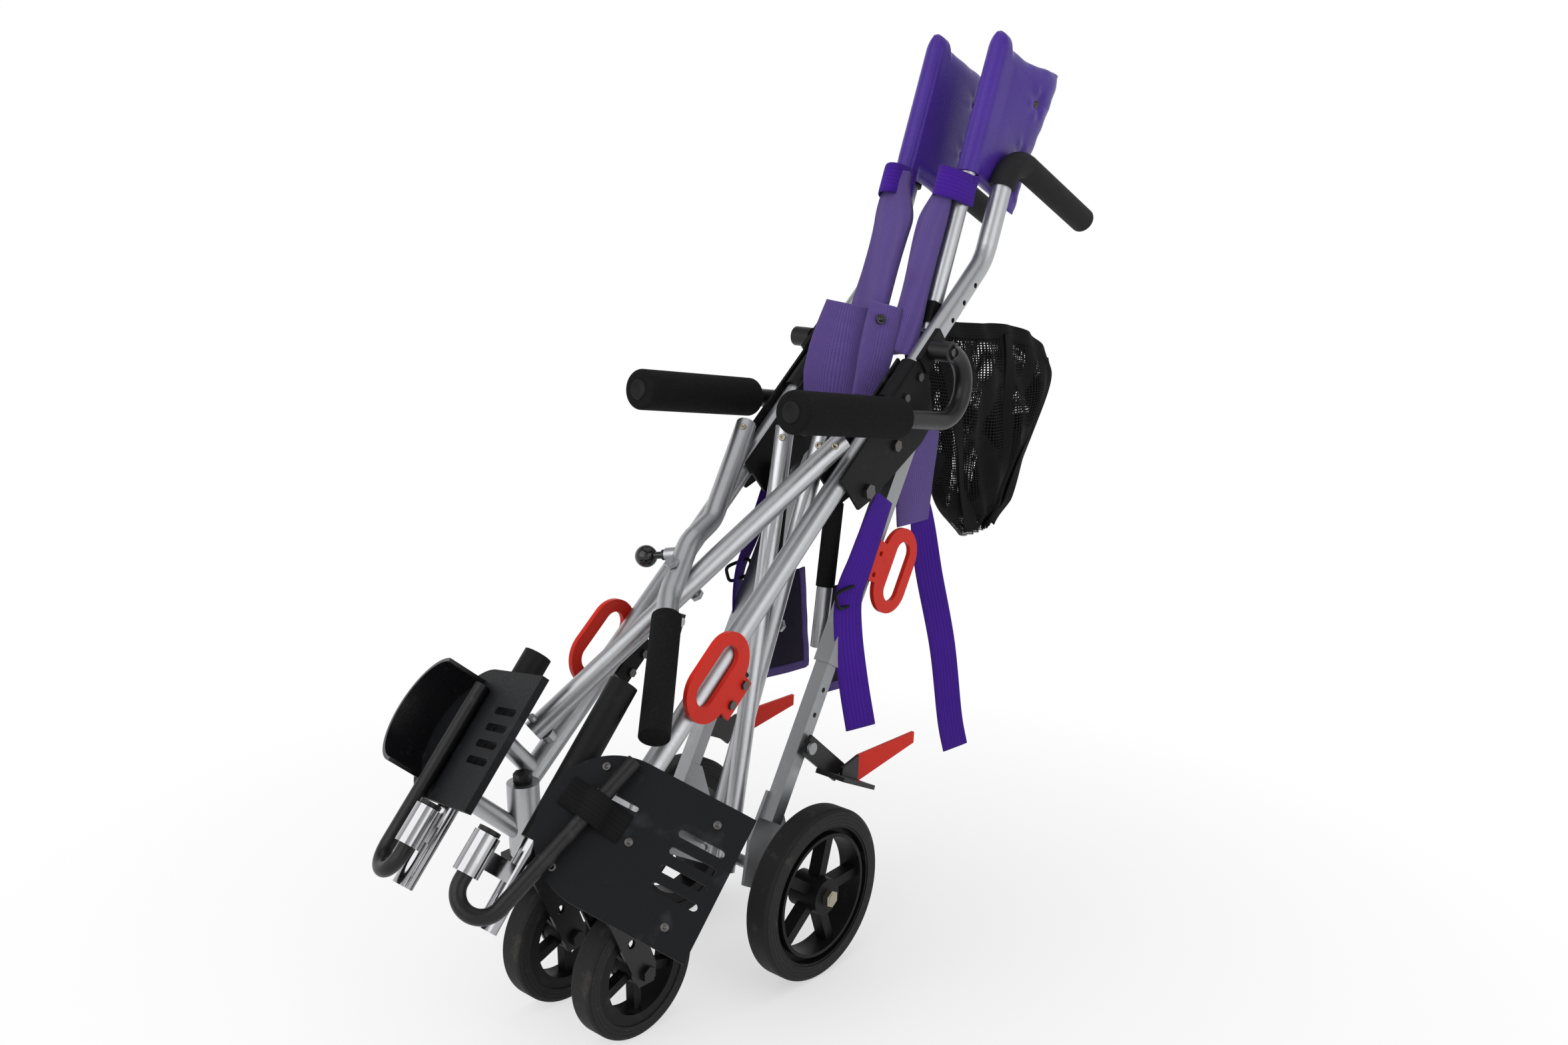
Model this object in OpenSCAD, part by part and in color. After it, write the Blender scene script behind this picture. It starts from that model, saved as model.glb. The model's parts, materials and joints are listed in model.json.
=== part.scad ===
// Special needs buggy, folded side to side and standing on its four wheels.
// Y runs from the footrests (minus) to the push handles (plus), X is plus on the occupant's left.

/* [Side frames] */
// Distance of each side frame from the middle plane
side_x = 70; // [66:1:90]
// Slope of the main tube above the floor
main_tilt = 39; // [34:0.5:44]
// Outer diameter of the main tube
tube_d = 25; // [22:0.5:28]
// Wall of all round tubes
tube_wall = 2; // [1.5:0.1:3]
// Knee point of the side frame behind the rear axle
knee_y = 150; // [130:1:170]
// Knee point of the side frame above the floor
knee_z = 607; // [580:1:630]
// Run of the main tube from the knee down to the caster barrel
leg_run = 533; // [520:1:545]
// Run of the main tube from the knee up to the handle bend
handle_run = 283; // [260:1:310]
// Turn of the first handle bend
handle_turn = 28; // [20:1:35]
// Straight rise between the two handle bends
handle_rise = 78; // [60:1:110]
// Turn of the bend in the hand grip
grip_turn = 92; // [80:1:100]
// Straight length of the hand grip
grip_run = 158; // [120:1:190]
// Wall of the rubber hand grip
grip_wall = 4; // [3:0.5:6]
// Radius of the adjustment holes of the back post's clamp
adjust_r = 3.25; // [2.5:0.05:4]
// Spacing of the adjustment holes
adjust_pitch = 30; // [25:1:34]
// Pitch of the folded frame about its rear axle when all four wheels touch the floor
stand_pitch = 4.2; // [3:0.1:5.5]
// Distance of the fold plane from the middle of the part's box
middle_x = 24.51; // [0:0.01:40]
// Distance of the rear axle in front of the middle of the part
axle_front = 73.46; // [0:0.01:200]

/* [Back posts and pads] */
// Outer diameter of a back post
post_d = 22; // [19:0.5:24]
// Run from the knee to the foot of a back post
post_foot = 188; // [175:1:200]
// Lean of a back post from the vertical
post_lean = 23; // [18:0.5:28]
// Length of a back post
post_len = 350; // [340:1:352]
// Lower edge of a head pad along its post
pad_low = 176; // [165:1:190]
// Height of a head pad along its post
pad_h = 182; // [175:1:190]
// Depth of a head pad behind its post
pad_depth = 118; // [90:1:140]
// Shift of a head pad's rear edge towards the middle plane
pad_in = 8; // [8:0.5:11]

/* [Knee brackets] */
// Thickness of each knee plate
plate_t = 3.5; // [2.5:0.1:4]
// Clearance between the main tube and a knee plate
plate_gap = 0.5; // [0.3:0.1:1]
// Clearance between sliding or swinging neighbours
run_gap = 0.7; // [0.4:0.1:1.2]
// Radial clearance of the pivot pins
pin_gap = 0.05; // [0.03:0.01:0.1]

/* [Rear legs] */
// Side of the square rear leg
leg_w = 22; // [20:0.5:24]
// Lean of the folded rear leg from the vertical
leg_lean = 31.5; // [28:0.5:34]
// Length of the upper leg below its pivot
leg_upper = 305; // [280:1:320]
// Length of the whole leg below its pivot
leg_len = 493; // [480:1:505]

/* [Wheels] */
// Diameter of a rear wheel
rear_d = 200; // [190:1:210]
// Width of a rear tyre
rear_w = 32; // [26:1:38]
// Gap between rear leg and rear tyre
wheel_gap = 11; // [9:0.5:16]
// Diameter of a caster wheel
caster_d = 150; // [140:1:156]
// Width of a caster tyre
caster_w = 30; // [24:1:34]
// Distance of each caster stem from the middle plane
stem_x = 54; // [50:1:60]
// Caster stem in front of the rear axle
stem_y = 278; // [272:1:284]
// Trail of the caster wheel behind its stem
caster_trail = 46; // [36:1:52]

/* [Rear cross tubes] */
// Outer diameter of a cross tube
cross_d = 22; // [19:0.5:23]
// Half length below the cross bolt
cross_low = 272; // [262:1:280]
// Half length above the cross bolt
cross_high = 229; // [215:1:240]
// Lean of the cross tubes from the vertical
cross_lean = 17.8; // [15:0.1:20]
// Cross bolt behind the rear axle
cross_y = 42; // [36:1:48]
// Cross bolt above the floor
cross_z = 386; // [378:1:394]

/* [Front cross tube and fold lever] */
// Outer diameter of the front cross tube and fold lever
front_d = 24; // [20:0.5:25]
// Height of the front cross tube above the main tubes
front_q = 34; // [33:0.5:40]
// Run from the knee down to the pivot of the front cross tube
front_low = 478; // [470:1:484]
// Run from the knee down to the top of the front cross tube
front_high = 47; // [40:1:60]
// Distance of the front pivot from the middle plane
front_low_x = 66; // [62:1:70]
// Distance of the front cross tube's top from the middle plane
front_high_x = 72; // [66:1:78]
// Outer diameter of the foam on the fold lever
foam_d = 32; // [30:0.5:36]
// Length of the foam on the fold lever
foam_len = 150; // [130:1:156]
// Travel of the locking knob
knob_travel = 8; // [5:0.5:10]

/* [Armrests] */
// Diameter of the armrest foam
arm_foam_d = 46; // [40:1:50]
// Length of the armrest foam
arm_foam_len = 190; // [160:1:200]
// Radius of the armrest loop
arm_loop = 40; // [36:1:44]

/* [Leg rests] */
// Slope of the leg rest above the floor
rest_tilt = 46; // [44:0.5:48]
// Distance of each leg rest from the middle plane
rest_x = 64; // [60:1:68]
// Top of the leg rest holder in front of the rear axle
rest_y = 242; // [238:1:246]
// Top of the leg rest holder above the floor
rest_z = 411; // [407:1:416]
// Length of the leg rest holder
holder_len = 172; // [160:1:176]
// Length of the chrome leg rest tube below the holder top
rest_len = 262; // [250:1:275]
// Turn of the folded left footplate about its leg rest
foot_swing = 38; // [35:0.5:38]
// Turn of the folded right footplate about its leg rest
foot_swing_right = 20; // [15:1:30]
// Length of a footplate
foot_len = 187; // [185:1:200]
// Shift of the left footplate away from its leg rest
foot_shift = 17; // [15:1:20]
// Width of a footplate
foot_w = 146; // [130:1:150]
// Thickness of a footplate
foot_t = 8; // [6:0.5:10]

/* [Hidden] */
$fn = 40;
tube_r = tube_d / 2;
post_r = post_d / 2;
cross_r = cross_d / 2;
front_r = front_d / 2;
grip_r = tube_r + grip_wall;
lap = 1.2;
arc_ease = 0.12;
bend_r = 70;
top_bend_r = 40;
first_cut = bend_r * tan(handle_turn / 2);
plate_in = side_x - tube_r - plate_gap;
plate_out = side_x + tube_r + plate_gap;
post_x = side_x - tube_r - plate_gap - post_r;
rail_r = 9.5;
sleeve_r = 11;
rail_x = plate_in - plate_t - run_gap - sleeve_r;
rail_len = 190;
rail_lean = 9.5;
cross_top_x = rail_x - sleeve_r - cross_r - run_gap;
cross_turn = asin(cross_top_x / cross_high);
cross_low_x = cross_low * sin(cross_turn);
cross_off = cross_r + 0.5;
wheel_x = side_x + leg_w / 2 + wheel_gap + rear_w / 2;
hub_w = 40;
axle_r = 6;
rear_r = rear_d / 2;
caster_r = caster_d / 2;
caster_y = caster_trail - stem_y;
caster_z = rear_r + (caster_r - rear_r - caster_y * sin(stand_pitch)) / cos(stand_pitch);
stem_r = 9;
barrel_r = 17;
barrel_low = 205;
barrel_high = 284;
hip_s = 60;
hip_q = -49;
seat_s = -64;
seat_q = -31;
hip_y = main_y(hip_s, hip_q);
hip_z = main_z(hip_s, hip_q);
hip_r = 5;
front_turn = atan((front_low_x + front_high_x) / (front_low - front_high));
front_len = (front_low - front_high) / cos(front_turn);
front_meet = front_low_x / sin(front_turn);
lever_down = front_len - front_meet;
jog_rise = front_d + 0.8;
jog_turn = 25;
jog_r = 50;
jog_mid = (jog_rise - 2 * jog_r * (1 - cos(jog_turn))) / sin(jog_turn);
jog_len = 2 * jog_r * sin(jog_turn) + jog_mid * cos(jog_turn);
lever_top = lever_down - jog_len - 28;
lever_bend = 14;
lever_tail = foam_len + 14;
ring_s = -355;
ring_q = -29;
stay_drop = 15;
arm_x = plate_out + plate_t + arm_foam_d / 2 + 1.5;
arm_r = 11;
arm_s = 121;
arm_q = 9;
arm_run = 82;
holder_r = 15;
rest_r = 11;
foot_tube_r = 8;
foot_n = holder_r + 1.5;
loop_u = 27;
loop_w = 46;
collar_u = -38;
collar_n = foot_n + foot_t + foot_tube_r + 0.5;
collar_v = 208;
brake_y = 20;
brake_z = 263;
brake_r = 4;

function main_y(s, q) = knee_y + s * cos(main_tilt) - q * sin(main_tilt);
function main_z(s, q) = knee_z + s * sin(main_tilt) + q * cos(main_tilt);

// Colours
silver = [0.72, 0.73, 0.75];
grey = [0.55, 0.56, 0.57];
black = [0.1, 0.1, 0.11];
red = [0.8, 0.16, 0.1];
purple = [0.33, 0.25, 0.55];
chrome = [0.8, 0.8, 0.82];

// Placing helpers
module in_frame() translate([-middle_x, -axle_front, rear_r]) rotate([stand_pitch, 0, 0])
    translate([0, 0, -rear_r]) children();
module flip() mirror([1, 0, 0]) children();
module other() translate([-2 * middle_x, 0, 0]) mirror([1, 0, 0]) children();
module on_main(x, s, q)
    translate([x, main_y(s, q), main_z(s, q)]) rotate([main_tilt - 90, 0, 0]) children();
module on_post(z)
    translate([post_x, main_y(post_foot, 0), main_z(post_foot, 0)])
        rotate([-post_lean, 0, 0]) translate([0, 0, z]) children();
module on_leg(x, y, z)
    translate([x, hip_y, hip_z]) rotate([-leg_lean, 0, 0]) translate([0, y, z]) children();
module on_rail(x, y, z)
    translate([x, main_y(seat_s, seat_q), main_z(seat_s, seat_q)])
        rotate([-rail_lean, 0, 0]) translate([0, y, z]) children();
module on_cross() translate([0, cross_y, cross_z]) rotate([-cross_lean, 0, 0]) children();
module on_rest(v) translate([rest_x, -rest_y, rest_z]) rotate([rest_tilt - 90, 0, 0])
    translate([0, 0, -v]) children();
module on_foot(u, n, v, turn) on_rest(v) rotate([0, 0, turn]) translate([u, -n, 0]) children();
module across(x, r, h) translate([x, 0, 0]) rotate([0, 90, 0]) cylinder(r = r, h = h);
module rod(a, b, r) {
    d = b - a;
    translate(a) rotate([0, acos(d[2] / norm(d)), atan2(d[1], d[0])]) cylinder(r = r, h = norm(d));
}

// A straight piece of bent tube, lapped a little into the arcs at its ends
module straight(r, h) translate([0, 0, -lap]) rotate([0, 0, 63]) cylinder(r = r, h = h + 2 * lap);

// An arc that turns from +Z towards -Y, with its children at the far end
module arc_up(r, bend, turn) {
    translate([0, -bend, 0]) rotate([90, 0, 90])
        rotate_extrude(angle = turn) translate([bend, 0]) circle(r = r - arc_ease);
    translate([0, -bend * (1 - cos(turn)), bend * sin(turn)]) rotate([turn, 0, 0]) children();
}

// The same arc turning towards +Y
module arc_down(r, bend, turn) {
    mirror([0, 1, 0]) translate([0, -bend, 0]) rotate([90, 0, 90])
        rotate_extrude(angle = turn) translate([bend, 0]) circle(r = r - arc_ease);
    translate([0, bend * (1 - cos(turn)), bend * sin(turn)]) rotate([-turn, 0, 0]) children();
}

// A flat outline with round ends
module stadium(length, width) {
    square([length - width, width], center = true);
    translate([(length - width) / 2, 0]) circle(d = width);
    translate([(width - length) / 2, 0]) circle(d = width);
}

// A flat outline in the side view, given thickness from x to x + t
module side_plate(points, x, t) translate([x, 0, 0]) rotate([90, 0, 90])
    linear_extrude(t) polygon(points);

// Main tube from the caster barrel to the end of the hand grip
module main_path(r) on_main(side_x, -leg_run, 0) {
    run = leg_run + handle_run - first_cut;
    rotate([0, 0, 63]) cylinder(r = r, h = run + lap);
    translate([0, 0, run]) arc_up(r, bend_r, handle_turn) {
        straight(r, handle_rise);
        translate([0, 0, handle_rise]) arc_down(r, top_bend_r, grip_turn) straight(r, grip_run);
    }
}
module main_tube_side() color(silver) in_frame() difference() {
    union() {
        main_path(tube_r);
        translate([stem_x, -stem_y, barrel_low]) cylinder(r = barrel_r, h = barrel_high - barrel_low);
        on_main(side_x, -leg_run + 18, 0) rotate([90, 0, 0]) cylinder(r = 10, h = 67);
        rod([stem_x + 2, -stem_y - 8, 232], [rest_x - 3, -342, 286], 10);
    }
    on_main(side_x, 40 - leg_run, 0)
        rotate([0, 0, 37]) cylinder(r = tube_r - tube_wall, h = leg_run + handle_run - first_cut - 42);
    translate([stem_x, -stem_y, barrel_low - 1])
        cylinder(r = stem_r + pin_gap, h = barrel_high - barrel_low + 2);
    for (i = [0 : 2]) on_main(side_x, post_foot - 9 + adjust_pitch * i, 0)
        across(-20, adjust_r, 40);
    for (s = [52, 86]) on_main(side_x, s, 0) across(-20, 3, 40);
    on_rest(-1) cylinder(r = holder_r + 0.2, h = 2 * holder_len, center = true);
}
module left_main_tube() main_tube_side();
module right_main_tube() {
    other() main_tube_side();
    color(silver) in_frame() flip() on_main(front_low_x, -front_low, 0) rotate([90, 0, 0]) {
        translate([0, 0, 11]) cylinder(r = 8, h = front_q - front_r - run_gap - 11);
        translate([0, 0, 11]) cylinder(r = 4, h = front_q + front_r + 5 - 11);
    }
}

// Straight back post with a closed top
module back_post_side() color(silver) in_frame() on_post(-22) difference() {
    cylinder(r = post_r, h = post_len + 22 - 4);
    translate([0, 0, -1]) cylinder(r = post_r - tube_wall, h = post_len + 10);
}
module left_back_post() back_post_side();
module right_back_post() other() back_post_side();

// Knee bracket: two side plates, a saddle over the tube, the post clamp and the armrest block
module knee_outline(x, t) on_main(x, 0, 0) rotate([0, 90, 0]) rotate([0, 0, 90])
    linear_extrude(t) polygon([[-15, 98], [-15, -88], [36, -88], [46, -62], [66, 42],
                               [64, 74], [20, 98]]);
module bracket_side() color(black) in_frame() difference() {
    union() {
        knee_outline(plate_in - plate_t, plate_t);
        knee_outline(plate_out, plate_t);
        on_main(side_x, 40, 0) difference() {
            cylinder(r = tube_r + plate_gap + plate_t, h = 58);
            translate([0, 0, -1]) cylinder(r = tube_r + 0.15, h = 60);
            translate([-30, 4, -1]) cube([60, 40, 60]);
        }
        on_main(plate_out, arm_s - 24, 0) translate([0, -19, 0]) cube([plate_t + 3, 24, 50]);
        on_post(-14) difference() {
            translate([-post_r - 3, -post_r - 3, 0]) cube([2 * post_r + 3.3, 2 * post_r + 6, 26]);
            translate([0, 0, -1]) cylinder(r = post_r + 0.15, h = 30);
        }
        on_main(side_x, ring_s + 5, ring_q) translate([-9, -18, -28]) cube([22, 23, 56]);
    }
    on_main(side_x, -leg_run, 0) cylinder(r = tube_r + 0.15, h = leg_run + handle_run);
    on_main(side_x, hip_s, hip_q) across(-30, hip_r, 60);
    on_main(side_x, seat_s, seat_q) across(-30, hip_r, 60);
    on_main(side_x, 5, -30) across(-30, 4, 60);
    for (s = [52, 86]) on_main(side_x, s, 0) across(-30, 3, 60);
    on_main(side_x, arm_s, arm_q) across(0, 5, 60);
    for (s = [-8, 18]) on_main(side_x, ring_s + s, ring_q) across(-30, 3, 60);
}
module left_bracket() bracket_side();
module right_bracket() other() bracket_side();

// Bolts of one side frame, all separate
module hex_bolt(x, r, grip) {
    across(x, r, grip);
    translate([x + grip, 0, 0]) rotate([0, 90, 0]) cylinder(r = r * 1.8, h = r, $fn = 6);
    translate([x - r, 0, 0]) rotate([0, 90, 0]) cylinder(r = r * 1.8, h = r, $fn = 6);
}
module frame_bolts_side() color(grey) in_frame() {
    outer = plate_out + plate_t + 0.2 - side_x;
    on_main(side_x, hip_s, hip_q) hex_bolt(-outer, hip_r - pin_gap, 2 * outer);
    on_main(side_x, seat_s, seat_q) {
        across(-outer - 26, hip_r - pin_gap, 2 * outer + 26);
        translate([outer, 0, 0]) rotate([0, 90, 0]) cylinder(r = 9, h = 5, $fn = 6);
    }
    on_main(side_x, 5, -30) hex_bolt(-outer, 4 - pin_gap, 2 * outer);
    for (s = [52, 86]) on_main(side_x, s, 0) hex_bolt(-outer, 3 - pin_gap, 2 * outer);
    for (s = [-8, 18]) on_main(side_x, ring_s + s, ring_q) hex_bolt(-9.3, 3 - pin_gap, 28.5);
    on_main(side_x, arm_s, arm_q) translate([plate_out - side_x + 0.5, 0, 0])
        across(0, 5 - pin_gap, arm_x - plate_out + 8);
    for (z = [60, 130]) on_post(pad_low + z) translate([10.3 - pad_in, pad_depth - 28, 0])
        rotate([0, 90, 0]) cylinder(r = 6, h = 2.2);
}
module left_frame_bolts() frame_bolts_side();
module right_frame_bolts() other() frame_bolts_side();

// Leg rest holder, a black sleeve
module rest_holder_side() color(black) in_frame() difference() {
    on_rest(holder_len) cylinder(r = holder_r, h = holder_len);
    on_rest(holder_len + 1) cylinder(r = rest_r + 0.4, h = holder_len - 6);
}
module left_rest_holder() rest_holder_side();
module right_rest_holder() other() rest_holder_side();

// Rubber hand grip over the bent end of the main tube
module grip_path(r, e) on_main(side_x, handle_run - first_cut, 0) {
    translate([0, -bend_r * (1 - cos(handle_turn)), bend_r * sin(handle_turn)])
        rotate([handle_turn, 0, 0]) translate([0, 0, handle_rise - 2]) {
            translate([0, 0, -e]) cylinder(r = r, h = 2 + e + lap);
            translate([0, 0, 2]) arc_down(r, top_bend_r, grip_turn) straight(r, grip_run + 5 - 4 * e);
        }
}
module push_grip_side() color(black) in_frame() difference() {
    grip_path(grip_r, 0);
    grip_path(tube_r + 0.2, 1);
}
module left_push_grip() push_grip_side();
module right_push_grip() other() push_grip_side();

// Tie-down rings, flat plates with a slot
module ring_plate(t) linear_extrude(t) difference() {
    union() {
        translate([0, 10]) stadium(104, 66);
        translate([-22, -38]) square([48, 30]);
    }
    translate([0, 13]) stadium(74, 28);
    translate([-8, -29]) circle(r = 3.1);
    translate([18, -29]) circle(r = 3.1);
}
module front_tiedown_side() color(red) in_frame()
    on_main(side_x + 13.3, ring_s, ring_q + 29) rotate([0, 90, 0]) rotate([0, 0, 180]) ring_plate(5.5);
module left_front_tiedown() front_tiedown_side();
module right_front_tiedown() other() front_tiedown_side();

// Head pad around its post, thin at the rear
module head_pad_side() color(purple) in_frame() difference() {
    on_post(pad_low) hull() {
        translate([-0.6, 1, 0]) cylinder(r = post_r + 2.2, h = pad_h, $fn = 32);
        translate([-pad_in * 0.65, 30, 3]) cylinder(r = 10, h = pad_h - 3, $fn = 32);
        translate([-pad_in, pad_depth, 0]) cylinder(r = 6, h = pad_h - 8, $fn = 32);
    }
    on_post(0) cylinder(r = post_r + 0.4, h = post_len);
}
module left_head_pad() head_pad_side();
module right_head_pad() other() head_pad_side();

// Backrest canvas of the left side: front sleeve, pocket strip, lower panel and hanging strap
module left_back_canvas() color(purple) in_frame() {
    on_post(-62) hull() {
        translate([-26, -27, 0]) cylinder(r = 7, h = 230, $fn = 24);
        translate([-1, -21.3, 0]) cylinder(r = 7, h = 230, $fn = 24);
    }
    translate([16.5, 226, 684]) rotate([-20, 0, 0]) rotate([0, 0, 56]) cube([40, 15, 108], center = true);
    side_plate([[241, 604], [318, 606], [300, 452], [226, 486]], plate_in - plate_t - 9.3, 9);
    translate([42.6, 339, 303]) rotate([14.3, 0, 0]) rotate([0, 0, 59.5]) cube([34, 2.5, 355], center = true);
}

// Backrest canvas of the right side: gathered bundle and side flap
module right_back_canvas() color(purple) in_frame() flip() {
    on_post(-68) hull() {
        translate([-36, -30, 0]) cylinder(r = 8.5, h = 234, $fn = 24);
        translate([-1, -22.3, 0]) cylinder(r = 8, h = 234, $fn = 24);
    }
    translate([23, 212.6, 684]) rotate([-15, 0, 0]) rotate([0, 0, -41.3]) cube([64, 12.5, 108], center = true);
}

// Rear leg: square upper tube on the knee bolt, square lower tube with the wheel plate
module rear_leg_side() color(grey) in_frame() difference() {
    on_leg(side_x, 0, -leg_upper) translate([-leg_w / 2, -leg_w / 2, 0]) cube([leg_w, leg_w, leg_upper + 15]);
    on_leg(side_x, 0, -leg_upper - 1) translate([2 - leg_w / 2, 2 - leg_w / 2, 0])
        cube([leg_w - 4, leg_w - 4, leg_upper + 18]);
    on_main(side_x, hip_s, hip_q) across(-30, hip_r, 60);
}
module left_rear_leg() rear_leg_side();
module right_rear_leg() other() rear_leg_side();

// World position of a cross tube's lower pin, shifted along the normal of the crossing plane
function pin_y(n) = cross_y - cross_low * cos(cross_turn) * sin(cross_lean) - n * cos(cross_lean);
function pin_z(n) = cross_z - cross_low * cos(cross_turn) * cos(cross_lean) + n * sin(cross_lean);
module leg_lower_side(n) color(grey) in_frame() difference() {
    in_w = leg_w - 4.4;
    bar_n = n - cross_r - 7 - run_gap;
    union() {
        on_leg(side_x, 0, -leg_len) translate([-in_w / 2, -in_w / 2, 0]) cube([in_w, in_w, 240]);
        on_leg(side_x - in_w / 2 - 3, 0, 0) rotate([90, 0, 90]) linear_extrude(4)
            polygon([[-12, -462], [10, -462], [94, -538], [86, -570], [4, -570], [-14, -520]]);
        translate([0, 0, rear_r]) across(side_x - in_w / 2 - 3, axle_r, wheel_x + 28 - side_x + in_w / 2 + 3);
        translate([0, 0, rear_r]) across(side_x - in_w / 2 - 2, 11,
                                         wheel_x - hub_w / 2 - run_gap - side_x + in_w / 2 + 2);
        translate([wheel_x + hub_w / 2 + run_gap, 0, rear_r]) rotate([0, 90, 0]) cylinder(r = 10, h = 7, $fn = 6);
        translate([0, brake_y, brake_z]) across(side_x, brake_r, leg_w / 2 + 7);
        translate([0, brake_y, brake_z]) across(side_x + leg_w / 2 + 5 + run_gap, 7, 4);
        translate([0, pin_y(bar_n), pin_z(bar_n)])
            across(cross_low_x - 7, 7, side_x - in_w / 2 - cross_low_x + 6);
        translate([cross_low_x, pin_y(bar_n), pin_z(bar_n)]) rotate([90 - cross_lean, 0, 0])
            cylinder(r = 4, h = 7 + run_gap + cross_d + 4);
    }
    for (z = [-335, -365]) on_leg(side_x, 0, z) across(-20, 3, 40);
}
module left_leg_lower() leg_lower_side(cross_off);
module right_leg_lower() other() leg_lower_side(-cross_off);

// Rear tie-down ring on the outside of the upper leg
module rear_tiedown_side() color(red) in_frame()
    on_leg(side_x + leg_w / 2 + 0.3, 36, -172) rotate([0, 90, 0]) ring_plate(5.5);
module left_rear_tiedown() rear_tiedown_side();
module right_rear_tiedown() other() rear_tiedown_side();

// Rear wheel
module at_rear() translate([wheel_x, 0, rear_r]) rotate([0, 90, 0]) children();
module rear_tyre_side() color(black) in_frame() at_rear() rotate_extrude($fn = 72)
    difference() {
        union() {
            translate([rear_r - 18, -rear_w / 2]) square([12, rear_w]);
            translate([rear_r - 6, -rear_w / 2 + 6]) square([6, rear_w - 12]);
            translate([rear_r - 6, rear_w / 2 - 6]) circle(r = 6);
            translate([rear_r - 6, 6 - rear_w / 2]) circle(r = 6);
        }
        translate([rear_r - 19, -rear_w]) square([1, 2 * rear_w]);
    }
module left_rear_tyre() rear_tyre_side();
module right_rear_tyre() other() rear_tyre_side();
module rear_rim_side() color(black) in_frame() at_rear() difference() {
    union() {
        rotate_extrude($fn = 72) translate([rear_r - 32, -rear_w / 2 + 1])
            square([13.8, rear_w - 2]);
        cylinder(r = 21, h = hub_w, center = true);
        for (i = [0 : 4]) rotate([0, 0, 72 * i + 18]) translate([16, -6, -8]) cube([rear_r - 46, 12, 16]);
    }
    rotate_extrude($fn = 72) translate([rear_r - 28, 5]) square([7, 20]);
    translate([0, 0, -hub_w]) cylinder(r = axle_r + pin_gap, h = 2 * hub_w);
}
module left_rear_rim() rear_rim_side();
module right_rear_rim() other() rear_rim_side();

// Brake lever with shoe, turning on a stud of the lower leg
module brake_lever_side() color(red) in_frame() {
    x0 = side_x + leg_w / 2 + 1;
    difference() {
        side_plate([[6, 260], [24, 277], [84, 222], [66, 206]], x0, 4);
        translate([0, brake_y, brake_z]) across(x0 - 1, brake_r + pin_gap, 9);
    }
    side_plate([[34, 227], [92, 197], [94, 202], [36, 232]], x0 + 0.5, wheel_x + rear_w / 2 - x0 - 1);
    side_plate([[62, 212], [92, 200], [206, 212], [207, 226], [96, 232], [66, 226]], x0 + 12, 4);
}
module left_brake_lever() brake_lever_side();
module right_brake_lever() other() brake_lever_side();

// Caster fork with its stem in the barrel
module caster_fork_side() color(black) in_frame() translate([stem_x, -stem_y, 0]) {
    half = caster_w / 2 + 2;
    difference() {
        union() {
            translate([0, 0, barrel_low - 12]) cylinder(r = stem_r, h = barrel_high - barrel_low + 18);
            translate([0, 0, barrel_high + run_gap]) cylinder(r = 10, h = 10, $fn = 6);
            translate([-half - 4, -17, barrel_low - 14]) cube([2 * half + 8, 40, 13]);
            for (x = [-half - 4, half]) translate([x, 0, 0]) rotate([90, 0, 90]) linear_extrude(4)
                polygon([[-17, barrel_low - 6], [23, barrel_low - 6], [caster_trail + 14, caster_z + 6],
                         [caster_trail + 10, caster_z - 13], [caster_trail - 12, caster_z - 12]]);
        }
        for (x = [-half - 5, half - 1]) translate([0, caster_trail - 20, caster_z + 42])
            across(x, 5, 6);
    }
    translate([0, caster_trail, caster_z]) {
        across(-half - 8, 5, 2 * half + 16);
        for (x = [-half - 9, half + 4]) translate([x, 0, 0]) rotate([0, 90, 0]) cylinder(r = 9, h = 5, $fn = 6);
    }
}
module left_caster_fork() caster_fork_side();
module right_caster_fork() other() caster_fork_side();

// Caster wheel
module at_caster() translate([stem_x, caster_y, caster_z]) rotate([0, 90, 0]) children();
module caster_tyre_side() color(black) in_frame() at_caster() rotate_extrude($fn = 64) {
    translate([caster_r - 16, -caster_w / 2]) square([10, caster_w]);
    translate([caster_r - 6, 6 - caster_w / 2]) square([6, caster_w - 12]);
    translate([caster_r - 6, caster_w / 2 - 6]) circle(r = 6);
    translate([caster_r - 6, 6 - caster_w / 2]) circle(r = 6);
}
module left_caster_tyre() caster_tyre_side();
module right_caster_tyre() other() caster_tyre_side();
module caster_rim_side() color(black) in_frame() at_caster() difference() {
    union() {
        rotate_extrude($fn = 64) translate([caster_r - 28, 1 - caster_w / 2]) square([11.8, caster_w - 2]);
        cylinder(r = 15, h = caster_w + 2, center = true);
        for (i = [0 : 4]) rotate([0, 0, 72 * i]) translate([11, -5, -6]) cube([caster_r - 37, 10, 12]);
    }
    translate([0, 0, -caster_w]) cylinder(r = 5 + pin_gap, h = 2 * caster_w);
}
module left_caster_rim() caster_rim_side();
module right_caster_rim() other() caster_rim_side();

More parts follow.
